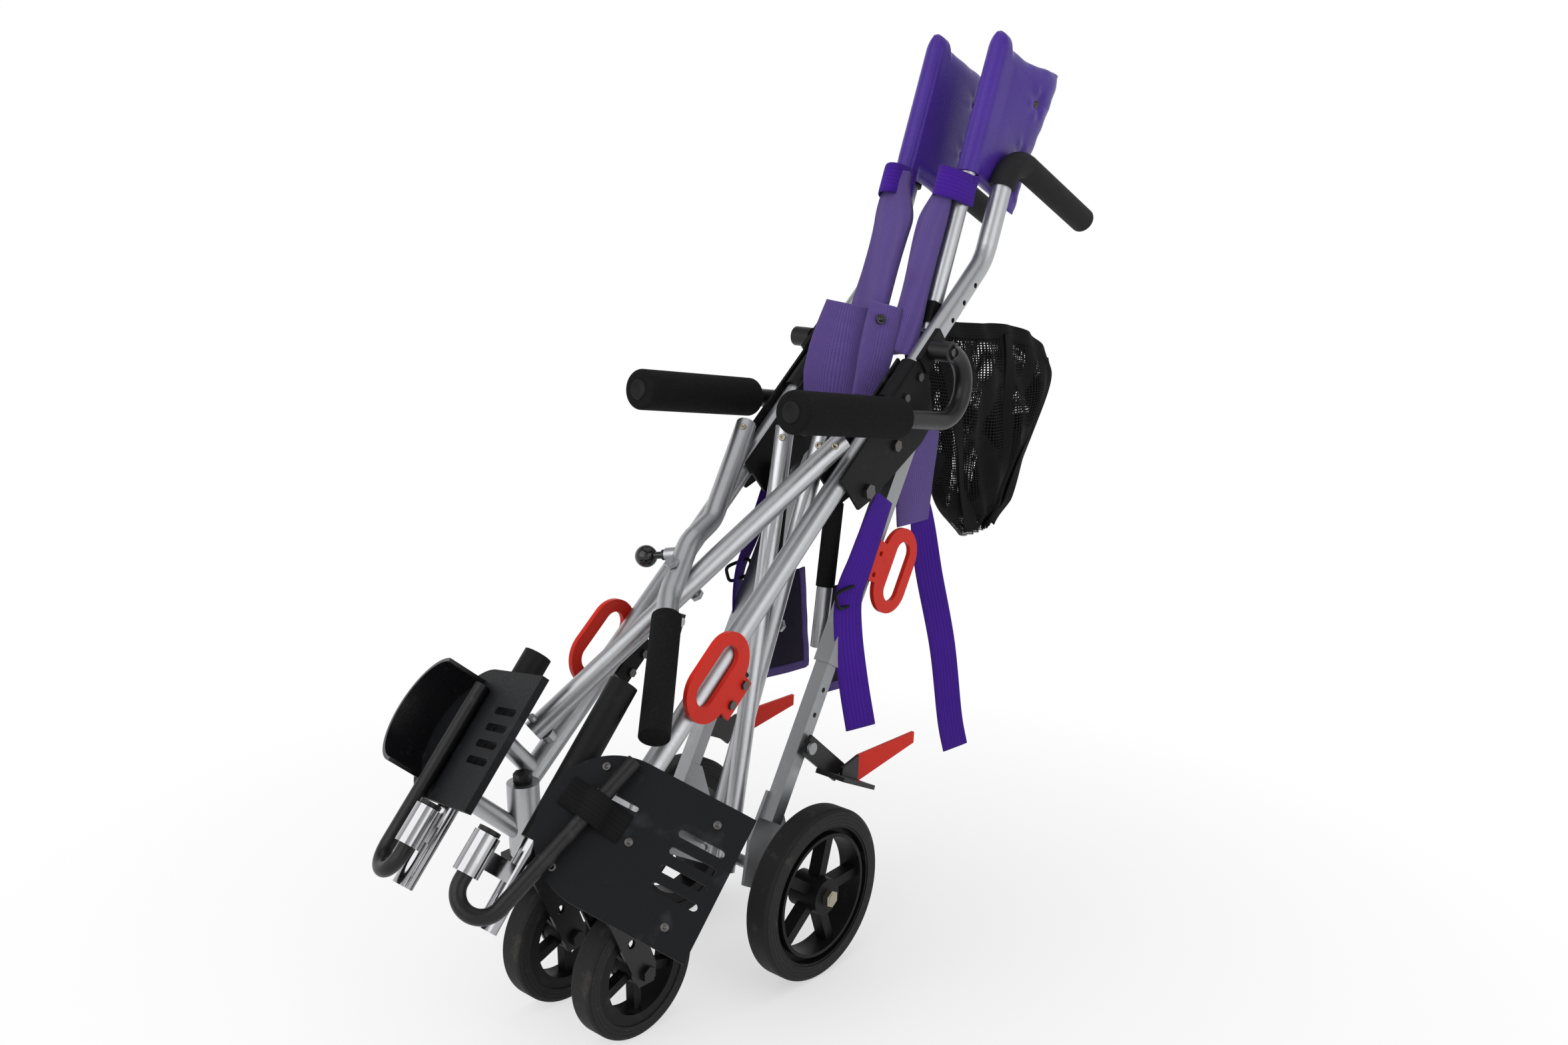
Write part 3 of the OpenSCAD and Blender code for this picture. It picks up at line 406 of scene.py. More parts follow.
def hard_finish(name, colour, rough, fine, broad, depth, worn=None, stretch=(1, 1, 1), **values):
    """Metal, paint or moulded plastic: grain in the roughness and bump, unevenness in the colour, and scuffs
    that shift both towards the worn colour."""
    material, net, shader = start(name, values)
    where = net.node("ShaderNodeTexCoord").outputs["Object"]
    where = net.node("ShaderNodeMapping", {"Vector": where, "Scale": stretch}).outputs[0]
    grain = net.group(grain_effect(), Vector=where, Fine=fine, Broad=broad)
    shade = net.mix(grain["Broad"], rgba(colour, 0.86), rgba(colour, 1.12))
    base = net.mix(net.math("MULTIPLY", grain["Scuff"], 0.35), shade, rgba(worn or colour))
    gloss = net.math("ADD", net.span(grain["Grain"], 0.3, 0.7, rough * 0.82, rough * 1.16),
                     net.math("MULTIPLY", grain["Scuff"], 0.1))
    net.feed(shader, Base_Color=base, Roughness=gloss)
    bumped(net, shader, grain["Grain"], 0.5, depth)
    return material


def cloth_finish(name, colour, threads, depth, rough, **values):
    """Woven cloth on the piece's own UV map: painted shade between the threads, with flecks and faded
    patches.
    """
    material, net, shader = start(name, {"Roughness": rough, "Specular IOR Level": 0.1, **values})
    uv = net.node("ShaderNodeUVMap", uv_map="cloth").outputs[0]
    weave = net.group(weave_effect(), Vector=uv, Threads=threads)
    where = net.node("ShaderNodeTexCoord").outputs["Object"]
    faded = net.noise(where, 22.0, 4)
    # Painted shade: where the weave's height is low, between the threads, the colour falls to 0.3 of itself,
    # rising to 1.2 on the thread tops.
    shade = net.mix(weave["Height"], rgba(colour, 0.3), rgba(colour, 1.2))
    fleck = net.mix(net.span(weave["Fleck"], 0.35, 0.7, 0, 0.35), shade, rgba(colour, 1.5))
    base = net.mix(net.span(faded, 0.35, 0.7, 0, 0.3), fleck, rgba(colour, 1.25))
    net.feed(shader, Base_Color=base)
    bumped(net, shader, weave["Height"], 0.7, depth)
    return material


def net_finish(name, colour, holes, layers, **values):
    """Open mesh cloth: the net's holes are cut out by Alpha, but not in the patches where it lies doubled."""
    material, net, shader = start(name, {"Roughness": 0.8, "Specular IOR Level": 0.1, **values})
    uv = net.node("ShaderNodeUVMap", uv_map="cloth").outputs[0]
    thread = net.group(net_effect(), Vector=uv, Holes=holes)["Thread"]
    where = net.node("ShaderNodeTexCoord").outputs["Object"]
    shade = net.mix(net.noise(where, 60.0, 3), rgba(colour, 0.6), rgba(colour, 1.5))
    doubled = net.span(net.noise(where, layers, 2), 0.5, 0.56)
    net.feed(shader, Base_Color=shade, Alpha=net.math("MAXIMUM", thread, doubled))
    bumped(net, shader, thread, 0.6, 0.0006)
    return material


def tyre_finish(name, colour, hub, rings):
    """Grey black tyre rubber with fine moulded rings about the hub, painted shade in their grooves, and dust
    on the tread.
    """
    material, net, shader = start(name, {"Specular IOR Level": 0.18})
    where = net.node("ShaderNodeTexCoord").outputs["Object"]
    where = net.node("ShaderNodeMapping", {"Vector": where, "Location": [-x for x in hub]}).outputs[0]
    ribs = net.group(rib_effect(), Vector=where, Rings=rings)
    grain = net.group(grain_effect(), Vector=where, Fine=900, Broad=14)
    shade = net.mix(grain["Broad"], rgba(colour, 0.7), rgba(colour, 1.35))
    dusty = net.mix(net.math("MULTIPLY", grain["Scuff"], 0.3), shade, (0.13, 0.12, 0.1, 1))
    # Painted shade: the ring grooves, which the bump sinks, darken towards 0.35 of the tyre colour.
    base = net.mix(net.math("MULTIPLY", ribs["Ring"], 0.55), dusty, rgba(colour, 0.35))
    net.feed(shader, Base_Color=base, Roughness=net.span(grain["Grain"], 0.3, 0.7, 0.55, 0.8))
    height = net.math("SUBTRACT", net.math("MULTIPLY", grain["Grain"], 0.15), ribs["Ring"])
    bumped(net, shader, height, 0.7, 0.0007)
    return material


def vinyl_finish(name, colour):
    """Soft coated cloth: small leather-like cells in the bump with painted shade in their dimples, broad tone
    changes and a satin gloss.
    """
    material, net, shader = start(name, {"Specular IOR Level": 0.22, "Coat Weight": 0.03,
                                         "Coat Roughness": 0.2})
    where = net.node("ShaderNodeTexCoord").outputs["Object"]
    cells = net.node("ShaderNodeTexVoronoi", {"Vector": where, "Scale": 620.0}).outputs[0]
    grain = net.group(grain_effect(), Vector=where, Fine=240, Broad=16)
    shade = net.mix(grain["Broad"], rgba(colour, 0.8), rgba(colour, 1.2))
    # Painted shade: near the cell centres, where the bump sinks dimples, the colour darkens towards 0.6 of
    # itself.
    base = net.mix(net.span(cells, 0.0, 0.6, 0.25, 0), shade, rgba(colour, 0.6))
    net.feed(shader, Base_Color=base, Roughness=net.span(grain["Grain"], 0.3, 0.7, 0.27, 0.4))
    bumped(net, shader, cells, 0.35, 0.0004)
    return material


def foam_finish(name, colour, cells, depth, rough):
    """Closed cell foam or rubber: pits between cells with painted shade in them and painted light on the
    raised cells, and paler rubbed patches.
    """
    material, net, shader = start(name, {"Specular IOR Level": 0.12})
    where = net.node("ShaderNodeTexCoord").outputs["Object"]
    pits = net.node("ShaderNodeTexVoronoi", {"Vector": where, "Scale": cells}).outputs[0]
    grain = net.group(grain_effect(), Vector=where, Fine=cells * 1.7, Broad=25)
    # Painted shade and light: the colour runs from 0.4 of itself in the pits the bump sinks to 1.5 on the
    # raised cells.
    shade = net.mix(net.span(pits, 0.0, 0.7), rgba(colour, 0.4), rgba(colour, 1.5))
    base = net.mix(net.math("MULTIPLY", grain["Scuff"], 0.25), shade, rgba(colour, 2.6))
    net.feed(shader, Base_Color=base, Roughness=net.span(grain["Grain"], 0.3, 0.7, rough * 0.9, rough))
    bumped(net, shader, net.math("ADD", pits, grain["Grain"]), 0.8, depth)
    return material


MADE = {}


def finishes():
    """Every finish by name, made at the first call from the colours in the scene's settings."""
    if MADE:
        return MADE
    hue = bpy.context.scene.buggy_colours
    black = tuple(hue.black)
    dull = {"Specular IOR Level": 0.13}
    MADE["silver"] = hard_finish("satin aluminium", hue.silver, 0.36, 1400, 9, 0.00005, (0.3, 0.3, 0.31),
                                 (1, 0.16, 0.16), Metallic=0.94)
    MADE["grey"] = hard_finish("grey anodised", hue.grey, 0.42, 1600, 11, 0.00005, (0.5, 0.5, 0.51),
                               Metallic=0.88)
    MADE["black_plastic"] = hard_finish("black moulded plastic", black, 0.5, 900, 12, 0.00018,
                                        (0.05, 0.05, 0.054), **dull)
    MADE["plate"] = hard_finish("footplate plastic", hue.plate, 0.55, 700, 9, 0.0003, (0.05, 0.052, 0.06),
                                **dull)
    MADE["black_paint"] = hard_finish("black painted metal", black, 0.38, 500, 14, 0.00008,
                                      (0.06, 0.06, 0.06), **{"Specular IOR Level": 0.3})
    polish = {"Specular IOR Level": 0.35, "Coat Weight": 0.25, "Coat Roughness": 0.05}
    MADE["gloss_black"] = hard_finish("polished black", (0.006, 0.006, 0.007), 0.1, 300, 18, 0.00001,
                                      (0.02, 0.02, 0.02), **polish)
    MADE["band"] = hard_finish("smooth black band", (0.006, 0.006, 0.007), 0.26, 500, 20, 0.0001,
                               (0.03, 0.03, 0.03), **{"Specular IOR Level": 0.3})
    MADE["red"] = hard_finish("red paint", hue.red, 0.4, 420, 16, 0.00008, (0.42, 0.03, 0.02),
                              **{"Specular IOR Level": 0.16, "Coat Weight": 0.03, "Coat Roughness": 0.15})
    MADE["red_sleeve"] = hard_finish("red dipped sleeve", hue.red, 0.5, 900, 18, 0.00015, (0.45, 0.03, 0.02),
                                     **dull)
    MADE["chrome"] = hard_finish("chrome plate", (0.4, 0.4, 0.415), 0.13, 700, 22, 0.00001, (0.3, 0.3, 0.3),
                                 Metallic=1.0)
    MADE["steel"] = hard_finish("dark plated steel", (0.11, 0.105, 0.1), 0.4, 800, 40, 0.00008,
                                (0.06, 0.05, 0.04), Metallic=0.95)
    MADE["zinc"] = hard_finish("plated bolt", (0.36, 0.33, 0.26), 0.34, 800, 40, 0.00006, (0.2, 0.17, 0.12),
                               Metallic=1.0)
    MADE["foam"] = foam_finish("black foam", black, 900, 0.0006, 0.95)
    MADE["rubber"] = foam_finish("grip rubber", (0.014, 0.014, 0.015), 1900, 0.0002, 0.7)
    MADE["vinyl"] = vinyl_finish("purple vinyl", hue.vinyl)
    MADE["canvas"] = cloth_finish("purple canvas", hue.canvas, 2500.0, 0.0009, 0.9, **{"Sheen Weight": 0.12})
    MADE["webbing"] = cloth_finish("purple webbing", hue.webbing, 2600.0, 0.0005, 0.75,
                                   **{"Sheen Weight": 0.06})
    MADE["black_webbing"] = cloth_finish("black webbing", (0.008, 0.008, 0.0085), 2600.0, 0.0005, 0.8)
    MADE["net"] = net_finish("black net", (0.007, 0.007, 0.0075), 230.0, 16.0)
    MADE["seat_net"] = cloth_finish("seat net", (0.026, 0.022, 0.042), 1900.0, 0.0008, 0.85)
    for side in SIDES:
        MADE[side + "_rear_tyre"] = tyre_finish(side + " rear tyre", hue.tyre,
                                                JOINTS[side + "_wheel_spin"]["pos_m"], 1500.0)
        MADE[side + "_caster_tyre"] = tyre_finish(side + " caster tyre", hue.tyre,
                                                  JOINTS[side + "_caster_spin"]["pos_m"], 1500.0)
    return MADE


# Settings

def colour_setting(name, text, value):
    """A colour that a user may change."""
    return bpy.props.FloatVectorProperty(name=name, description=text, subtype="COLOR", size=3, min=0, max=1,
                                         default=value)


def length_setting(name, text, value):
    """A length that a user may change."""
    return bpy.props.FloatProperty(name=name, description=text, default=value, min=0.0001, max=2,
                                   unit="LENGTH")


class BuggySizes(bpy.types.PropertyGroup):
    pad_thick: length_setting("Pad half thickness", "Half the head pad's thickness at its post", 0.0134)
    pad_swell: length_setting("Pad swell", "Furthest that the stuffing lifts a pad's cover", 0.005)
    webbing_wide: length_setting("Webbing width", "Width of the hanging straps", 0.036)
    webbing_thick: length_setting("Webbing thickness", "Thickness of all webbing", 0.0021)
    loop_wide: length_setting("Loop width", "Width of the webbing loops at the back posts", 0.037)
    net_wall: length_setting("Net wall", "Thickness of the net cloth", 0.0008)
    snap_radius: length_setting("Snap radius", "Radius of the black snaps", 0.006)


class BuggyColours(bpy.types.PropertyGroup):
    silver: colour_setting("Silver", "Satin aluminium of the main tubes", (0.43, 0.435, 0.45))
    grey: colour_setting("Grey", "Anodised grey of the rear legs", (0.30, 0.305, 0.315))
    black: colour_setting("Black", "Moulded plastic, foam and painted metal", (0.0065, 0.0065, 0.007))
    plate: colour_setting("Footplate", "Pebbled footplate plastic", (0.0075, 0.008, 0.0092))
    red: colour_setting("Red", "Tie-down rings and brake ends", (0.6, 0.022, 0.010))
    vinyl: colour_setting("Vinyl", "Coated cloth of the head pads", (0.062, 0.024, 0.27))
    canvas: colour_setting("Canvas", "Coarse backrest canvas", (0.115, 0.074, 0.275))
    webbing: colour_setting("Webbing", "Deep purple webbing", (0.055, 0.011, 0.27))
    tyre: colour_setting("Tyre", "Tyre rubber", (0.017, 0.017, 0.0175))


class BuggyStudio(bpy.types.PropertyGroup):
    lens: bpy.props.FloatProperty(name="Lens", description="Focal length on a 36 mm sensor", default=33.375,
                                  min=5, max=300, subtype="DISTANCE_CAMERA")
    key_power: bpy.props.FloatProperty(name="Key light", description="Power of the light at the upper left",
                                       default=30, min=0, max=1000, unit="POWER")
    fill_power: bpy.props.FloatProperty(name="Fill light", description="Power of the light at the right",
                                        default=12, min=0, max=1000, unit="POWER")
    world_level: bpy.props.FloatProperty(name="World level", description="Strength of the even light",
                                         default=0.5, min=0, max=5, subtype="FACTOR")


# Soft pieces

def surface_area(rows):
    """Mean half girth and mean length of a closed sweep, in metres: the flat size of its cloth."""
    girth = np.linalg.norm(np.roll(rows, -1, 1) - rows, axis=-1).sum(1).mean() / 2
    length = np.linalg.norm(np.diff(rows, axis=0), axis=-1).sum(0).mean()
    return float(girth), float(length)


def band(name, knots, across, width, thick, body, finish, n=60, swap=(), bits=()):
    """Flat webbing: the band outline carried along a smooth curve through knots in buggy millimetres."""
    rows = stand(sweep(curve(knots, n), across, flat_band(width, thick, 24)))
    return cloth_piece(name, rows, body, finish, swap, sub=0)


def snap(name, centre, axis, radius, body, finish="gloss_black"):
    """A press snap: a domed cap with a rolled rim, turned about the axis it is pressed along."""
    r = radius
    profile = [(r * 0.9, -0.0025), (r, -0.0015), (r, 0.0006), (r * 0.93, 0.0015), (r * 0.78, 0.0017),
               (r * 0.66, 0.0011), (r * 0.5, 0.0012), (r * 0.42, 0.0021), (r * 0.2, 0.0026),
               (r * 0.02, 0.0027)]
    return build(name, lathe(centre, axis, profile, 26), body, finish, size=(0.03, 0.02))


def screw(name, centre, axis, radius, body, finish="steel"):
    """A pan head: a flat disc with a round shoulder and a dished middle."""
    r = radius
    profile = [(r, -0.002), (r, 0.0004), (r * 0.94, 0.0011), (r * 0.8, 0.0016), (r * 0.42, 0.0018),
               (r * 0.36, 0.0009), (r * 0.02, 0.0008)]
    return build(name, lathe(centre, axis, profile, 22), body, finish, size=(0.03, 0.02))


def pad_lean(flare, b, t):
    """How far a pad leans out: nothing at the post and the foot, flare at the upper rear corner."""
    return flare * smooth(t, 212, 350) * smooth(b, 12, PAD_REAR)


def pad_cover(half, flare):
    """Head pad cover in post frame millimetres. u runs round the pad from the front edge over the outer
    side to the rear edge and back, v up from the lower edge. Outer and inner faces are smooth curves of the
    depth b that meet round the post and on the sewn rear edge, where their distance from a middle surface
    falls by square roots. The rear leans out by flare above the hand grip. Dimples sink at the two snaps,
    with ripples about them, and short puckers stand on the sewn edges."""
    u = even_turns(120)[None]
    v = np.linspace(0, 1, 88)[:, None]
    share = (1 - np.cos(u)) / 2
    b = -half + (PAD_REAR + half) * (share + 0.05 * np.sin(2 * np.pi * share) / np.pi) + 0 * v
    top = 347 + 10 * smooth(b, 15, 8) - 4 * smooth(b, -6, -13) + (3 + 0.6 * flare) * smooth(b, 50, PAD_REAR)
    low = 176.5 - 4.5 * smooth(b, 40, PAD_REAR)
    t = low + (top - low) * v
    far = b.clip(0) / PAD_REAR
    out = half - (half - 3) * far ** 1.6
    back = 3 * far ** 3 - half - 0.6 - 4.2 * np.sin(np.pi * far)
    bend = np.sqrt(np.clip(half**2 - np.minimum(b, 0) ** 2, 0, None)) / half
    middle = (out + back) / 2 * smooth(b, 0, 20)
    rear = np.sqrt(np.clip(1 - ((b - 104) / 21.2).clip(0) ** 2, 0.012, 1))
    near = 1 - smooth(b, 6, 24)
    high = np.sqrt(np.clip(1 - ((v - 0.88) / 0.12).clip(0) ** 2, 0.012, 1))
    under = np.sqrt(np.clip(1 - ((0.1 - v) / 0.1).clip(0) ** 2, 0.012, 1))
    under = np.maximum(under, 0.97 * near)
    outer = np.sign(np.sin(u)) * (np.abs(np.sin(u)) > 1e-9)
    edge = np.minimum(rear, np.minimum(high, under))
    ripple = 0.8 * (1 - edge) * (np.sin(t / 4.1 + 0.6 * np.sin(b / 9)) * (rear < high)
                                 + np.sin(b / 4.6 + 0.7 * np.sin(b / 17)) * (rear >= high)) * (1 - near)
    sink = 0
    for place in SNAP_HEIGHTS:
        d, e = b - SNAP_BACK, t - place
        away = np.hypot(d, e)
        pucker = 0.7 * np.sin(5 * np.arctan2(e, d)) * np.exp(-(((away - 15) / 8) ** 2))
        sink = sink + 4.4 * np.exp(-((away / 9) ** 2)) + pucker
    seam = 1.1 * np.exp(-(((b + 6.5) / 1.6) ** 2)) * (outer < 0)
    thick = np.where(outer > 0, out - middle, middle - back) * bend
    depth = thick * rear * high * under - (sink + seam) * np.clip(thick * edge / 8, 0, 1)
    a = middle + pad_lean(flare, b, t) + outer * np.maximum(depth, 0.6) + ripple * np.abs(outer)
    return a, b, t, edge, sink


def swollen(piece, held, pressure, cap):
    """Lets a stuffed cover swell: cloth with inner pressure and no gravity for 20 frames, held points pinned
    and every point kept within cap of its start. The result is left in the mesh."""
    scene, mesh = bpy.context.scene, piece.data
    before = np.zeros(len(mesh.vertices) * 3, np.float32)
    mesh.vertices.foreach_get("co", before)
    group = piece.vertex_groups.new(name="held")
    group.add([int(k) for k in np.flatnonzero(held)], 1.0, "REPLACE")
    cloth = piece.modifiers.new("stuffing", "CLOTH")
    knobs = cloth.settings
    knobs.quality, knobs.mass, knobs.vertex_group_mass = 6, 0.25, "held"
    knobs.tension_stiffness = knobs.compression_stiffness = 12
    knobs.shear_stiffness, knobs.bending_stiffness = 5, 0.4
    knobs.use_pressure, knobs.uniform_pressure_force = True, pressure
    knobs.effector_weights.gravity = 0
    cloth.collision_settings.use_collision = False
    for number in range(1, 21):
        scene.frame_set(number)
    after = np.zeros_like(before)
    settled = piece.evaluated_get(bpy.context.evaluated_depsgraph_get())
    settled.data.vertices.foreach_get("co", after)
    piece.modifiers.remove(cloth)
    scene.frame_set(1)
    step = (after - before).reshape(-1, 3)
    far = np.linalg.norm(step, axis=1, keepdims=True)
    step *= np.minimum(1, cap / np.maximum(far, 1e-9))
    mesh.vertices.foreach_set("co", (before.reshape(-1, 3) + step).astype(np.float32).ravel())
    mesh.update()


class BUGGY_OT_head_pads(bpy.types.Operator):
    """Stuffed vinyl head pads about the tops of the back posts, with snaps on both faces"""
    bl_idname = "buggy.head_pads"
    bl_label = "Head pads"

    def execute(self, context):
        sizes = context.scene.buggy_sizes
        for side, s in SIDES.items():
            flare = 15.0 if s > 0 else 3.0
            a, b, t, edge, sink = pad_cover(sizes.pad_thick * 1000, flare)
            piece = build(f"{side}_pad_cover", on_post(a, b, t, s), f"{side}_frame", "vinyl", ends="strip",
                          size=(0.28, 0.18))
            pinned = np.ones(len(piece.data.vertices), bool)
            pinned[: a.size] = ((edge < 0.5) | (b < 24) | (sink > 1.2)).ravel()
            swollen(piece, pinned, 4.0, sizes.pad_swell)
            fine = piece.modifiers.new("fine", "SUBSURF")
            fine.levels = fine.render_levels = 1
            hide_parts(f"{side}_head_pad")
            for k, place in enumerate(SNAP_HEIGHTS):
                lean = pad_lean(flare, SNAP_BACK, place)
                axis = way_of(on_post, (1, 0, 0), s)
                for face, a, way in (("in", lean - 12.4, -axis), ("out", lean + 3.0, axis)):
                    snap(f"{side}_pad_snap_{face}_{k}", on_post(a, SNAP_BACK, place, s), way,
                         sizes.snap_radius, f"{side}_frame")
        return {"FINISHED"}


def gathered(side, low, high, lean, half_wide, half_thick, middle):
    """A strip of canvas gathered along a back post about middle (a, b). Its section is a superellipse whose
    size swells and narrows along the strip and shrinks into the webbing loop, with long folds as waves of the
    angle that drift as they run up."""
    t = np.linspace(low, high, 100)[:, None]
    g = even_turns(80)[None]
    k = (t - low) / (high - low)
    fold = 1 + 0.13 * np.sin(3 * g + 2.2 * k * np.pi) + 0.14 * np.sin(7 * g - 3 * k * np.pi + side)
    neck = 1 - 0.42 * smooth(k, 0.72, 0.96)
    body = (0.94 + 0.06 * np.sin(k * 9.5 + side)) * neck
    x = half_wide * power(np.cos(g), 0.8) * body
    y = half_thick * power(np.sin(g), 0.7) * fold * (0.6 + 0.4 * neck)
    turn = lean + 0.12 * np.sin(k * 5)
    a = middle[0] * (1 - 0.45 * smooth(k, 0.7, 1)) + x * np.cos(turn) - y * np.sin(turn) + 1.2 * np.sin(k * 7)
    b = middle[1] + x * np.sin(turn) + y * np.cos(turn)
    return on_post(a, b, t + 2.5 * np.sin(g * 2) * smooth(k, 0.15, 0), side)


def cushion_strip(knots, across, wide, thick, n=44, m=40, crease=0.05):
    """Folded canvas: a superellipse section along a curve in buggy millimetres. wide and thick are given at
    even steps along it, and creases are waves of the angle that drift along the strip."""
    k = np.linspace(0, 1, n)[:, None]
    g = even_turns(m)[None]
    w = np.interp(k, np.linspace(0, 1, len(wide)), wide) / 2
    h = np.interp(k, np.linspace(0, 1, len(thick)), thick) / 2
    swell = 1 + crease * np.sin(4 * g + 5 * k) + crease * np.sin(11 * k * np.pi + 2 * g) * 0.6
    outline = stacked(w * power(np.cos(g), 0.55), h * power(np.sin(g), 0.7) * swell)
    return stand(sweep(curve(knots, n), across, outline))


def cloth_piece(name, rows, body, finish, swap=(), sub=1):
    flat = surface_area(rows)
    piece = build(name, rows, body, finish, ends="strip", size=(2 * flat[0], flat[1]), sub=sub)
    if swap:
        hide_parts(*swap)
    return piece


class BUGGY_OT_back_canvas(bpy.types.Operator):
    """Gathered strips, pocket, flap and lower panel of the folded backrest canvas"""
    bl_idname = "buggy.back_canvas"
    bl_label = "Backrest canvas"

    def execute(self, context):
        radius = context.scene.buggy_sizes.snap_radius
        near = gathered(1, -60, 170, 0.2, 18.5, 8.0, (-13.5, -25.0))
        cloth_piece("left_canvas_strip", near, "left_frame", "canvas",
                    ["left_back_canvas"])
        far = gathered(-1, -66, 168, 0.02, 29.0, 8.8, (-20.5, -26.5))
        cloth_piece("right_canvas_strip", far, "right_frame", "canvas",
                    ["right_back_canvas"])
        roll = [[16.5, 206, 630], [17, 218, 662], [16.5, 232, 700], [16, 246, 738]]
        button = snap("left_pocket_snap", stand([20.5, 229, 722]), turned([0.8, -0.6, 0.0]), radius,
                      "left_frame")
        rows = cushion_strip(roll, (0.55, 0.83, 0), [34, 38, 42, 43, 41], [13, 16, 16, 14, 8])
        cloth_piece("left_pocket_roll", rows, "left_frame", "canvas")
        panel = [[48.5, 264, 470], [48.7, 266, 520], [48.5, 274, 565], [48.6, 279, 604]]
        rows = cushion_strip(panel, (0, 1, -0.1), [66, 74, 76, 78, 76], [5, 8.4, 8.6, 8.2, 5])
        cloth_piece("left_lower_panel", rows, "left_frame", "canvas")
        flap = [[-26, 196, 630], [-26, 203, 664], [-26, 214, 704], [-26, 225, 738]]
        rows = cushion_strip(flap, (0.75, 0.66, 0), [70, 76, 72, 62, 52], [5, 8, 9, 8, 5], crease=0.12)
        cloth_piece("right_flap", rows, "right_frame", "canvas")
        return {"FINISHED"}


class BUGGY_OT_straps(bpy.types.Operator):
    """Webbing loops at the back posts, hanging straps, and the leg strap with its buckle"""
    bl_idname = "buggy.straps"
    bl_label = "Webbing"

    def execute(self, context):
        sizes = context.scene.buggy_sizes
        wide, thick = sizes.webbing_wide * 1000, sizes.webbing_thick * 1000
        for side, s in SIDES.items():
            g = even_turns(72)
            reach, aside = (40.0, -8.0) if s > 0 else (46.0, -9.0)
            front = smooth(-np.cos(g), 0, 1)
            a = aside * front + (14.2 + 5.5 * front + 1.2 * np.sin(3 * g)) * np.sin(g)
            b = np.where(np.cos(g) > 0, 14.4 * np.cos(g), reach * np.cos(g) * (1 - 0.07 * np.sin(g) ** 2))
            t = LOOP_HEIGHT + 5.0 * np.cos(g + 0.5)
            path = on_post(a, b, t, s)
            up = way_of(on_post, (0, 0, 1), s)
            rows = ring(path, up, flat_band(sizes.loop_wide, sizes.webbing_thick, 24))
            around = float(np.linalg.norm(np.roll(path, -1, 0) - path, axis=1).sum())
            piece = build(f"{side}_post_loop", rows, side + "_frame", "webbing", loop=True,
                          size=(2 * sizes.loop_wide, around))
        hang = [[42.8, 279, 506], [42.7, 290, 476], [42.7, 309, 400], [43.5, 344, 290], [41.5, 370, 180],
                [42.6, 384, 132]]
        part = smooth(np.linspace(0, 1, 60)[:, None], 0.05, 0.4)
        twist = np.array([0.0, 1.0, 0.3]) + part * np.array([0.55, -0.15, -0.1])
        band("hanging_strap", hang, twist, wide, thick, "left_frame", "webbing")
        leg = np.array([[83.4, 157, 528], [83.2, 138, 500], [83.3, 112, 458], [83.2, 92, 424], [86, 88, 380],
                        [90, 94, 320], [92, 106, 262]])
        slant = np.linspace(0, 1, 90)[:, None] * np.array([0.75, 0, 0]) + np.array([0, 1, 0.1])
        band("leg_strap_webbing", leg, slant, wide, thick, "left_leg_body", "webbing", n=90,
             swap=["leg_strap"], bits=[self.buckle("left", 1)])
        flip = np.array([-1, 1, 1])
        band("right_leg_strap", leg * flip, slant * flip, wide, thick, "right_leg_body", "webbing", n=90,
             bits=[self.buckle("right", -1)])
        return {"FINISHED"}

    def buckle(self, side, s):
        """A ladder buckle: a round bar carried round a rounded rectangle, standing in the strap's plane."""
        g = even_turns(64)
        along, over = 11 * power(np.sin(g), 0.45), 22 * power(np.cos(g), 0.45)
        x, y, z = BUCKLE
        path = stacked(s * (x + 0 * g), y + over * 0.98 - along * 0.3, z + along * 0.95 + over * 0.05)
        rows = stand(ring(path, (1, 0, 0), circle(2.1, 12)))
        return build(f"{side}_strap_buckle", rows, f"{side}_leg_body", "black_plastic", loop=True,
                     size=(0.013, 0.09))


class BUGGY_OT_seat_cloth(bpy.types.Operator):
    """Seat net hanging from each seat rail, with its bound edge"""
    bl_idname = "buggy.seat_cloth"
    bl_label = "Seat net"

    def execute(self, context):
        sizes = context.scene.buggy_sizes
        v = np.linspace(0, 1, 60)[:, None]
        u = np.linspace(0, 1, 40)[None]
        t = -119 + v * (-243 + 119) + 4 * u
        b = 10.6 + u * (57 + 34 * v - 10.6)
        a = 1.5 * np.sin(u * 5 + v * 3) * u + 0.5 * np.sin(v * 21) * u * v
        edge = np.stack([a[:, -1], b[:, -1], t[:, -1]], -1)
        foot = np.stack([a[-1], b[-1], t[-1]], -1)
        hem = np.vstack([edge, foot[::-1][1:]])
        for side, s in SIDES.items():
            rows = on_rail(a, b, t, s)
            path = on_rail(hem[:, 0], hem[:, 1], hem[:, 2], s)
            across = np.cross(unit(np.gradient(path, axis=0)), way_of(on_rail, (1, 0, 0), s))
            tape = sweep(path, across, flat_band(0.011, 0.0034, 16))
            bound = build(f"{side}_seat_binding", tape, f"{side}_seat", "canvas", ends="strip",
                          size=(0.024, 0.21))
            panel = build(f"{side}_seat_net", rows, f"{side}_seat", "seat_net", wrap=False,
                          size=(0.075, 0.12), wall=sizes.net_wall)
            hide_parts(f"{side}_seat_panel")
        return {"FINISHED"}


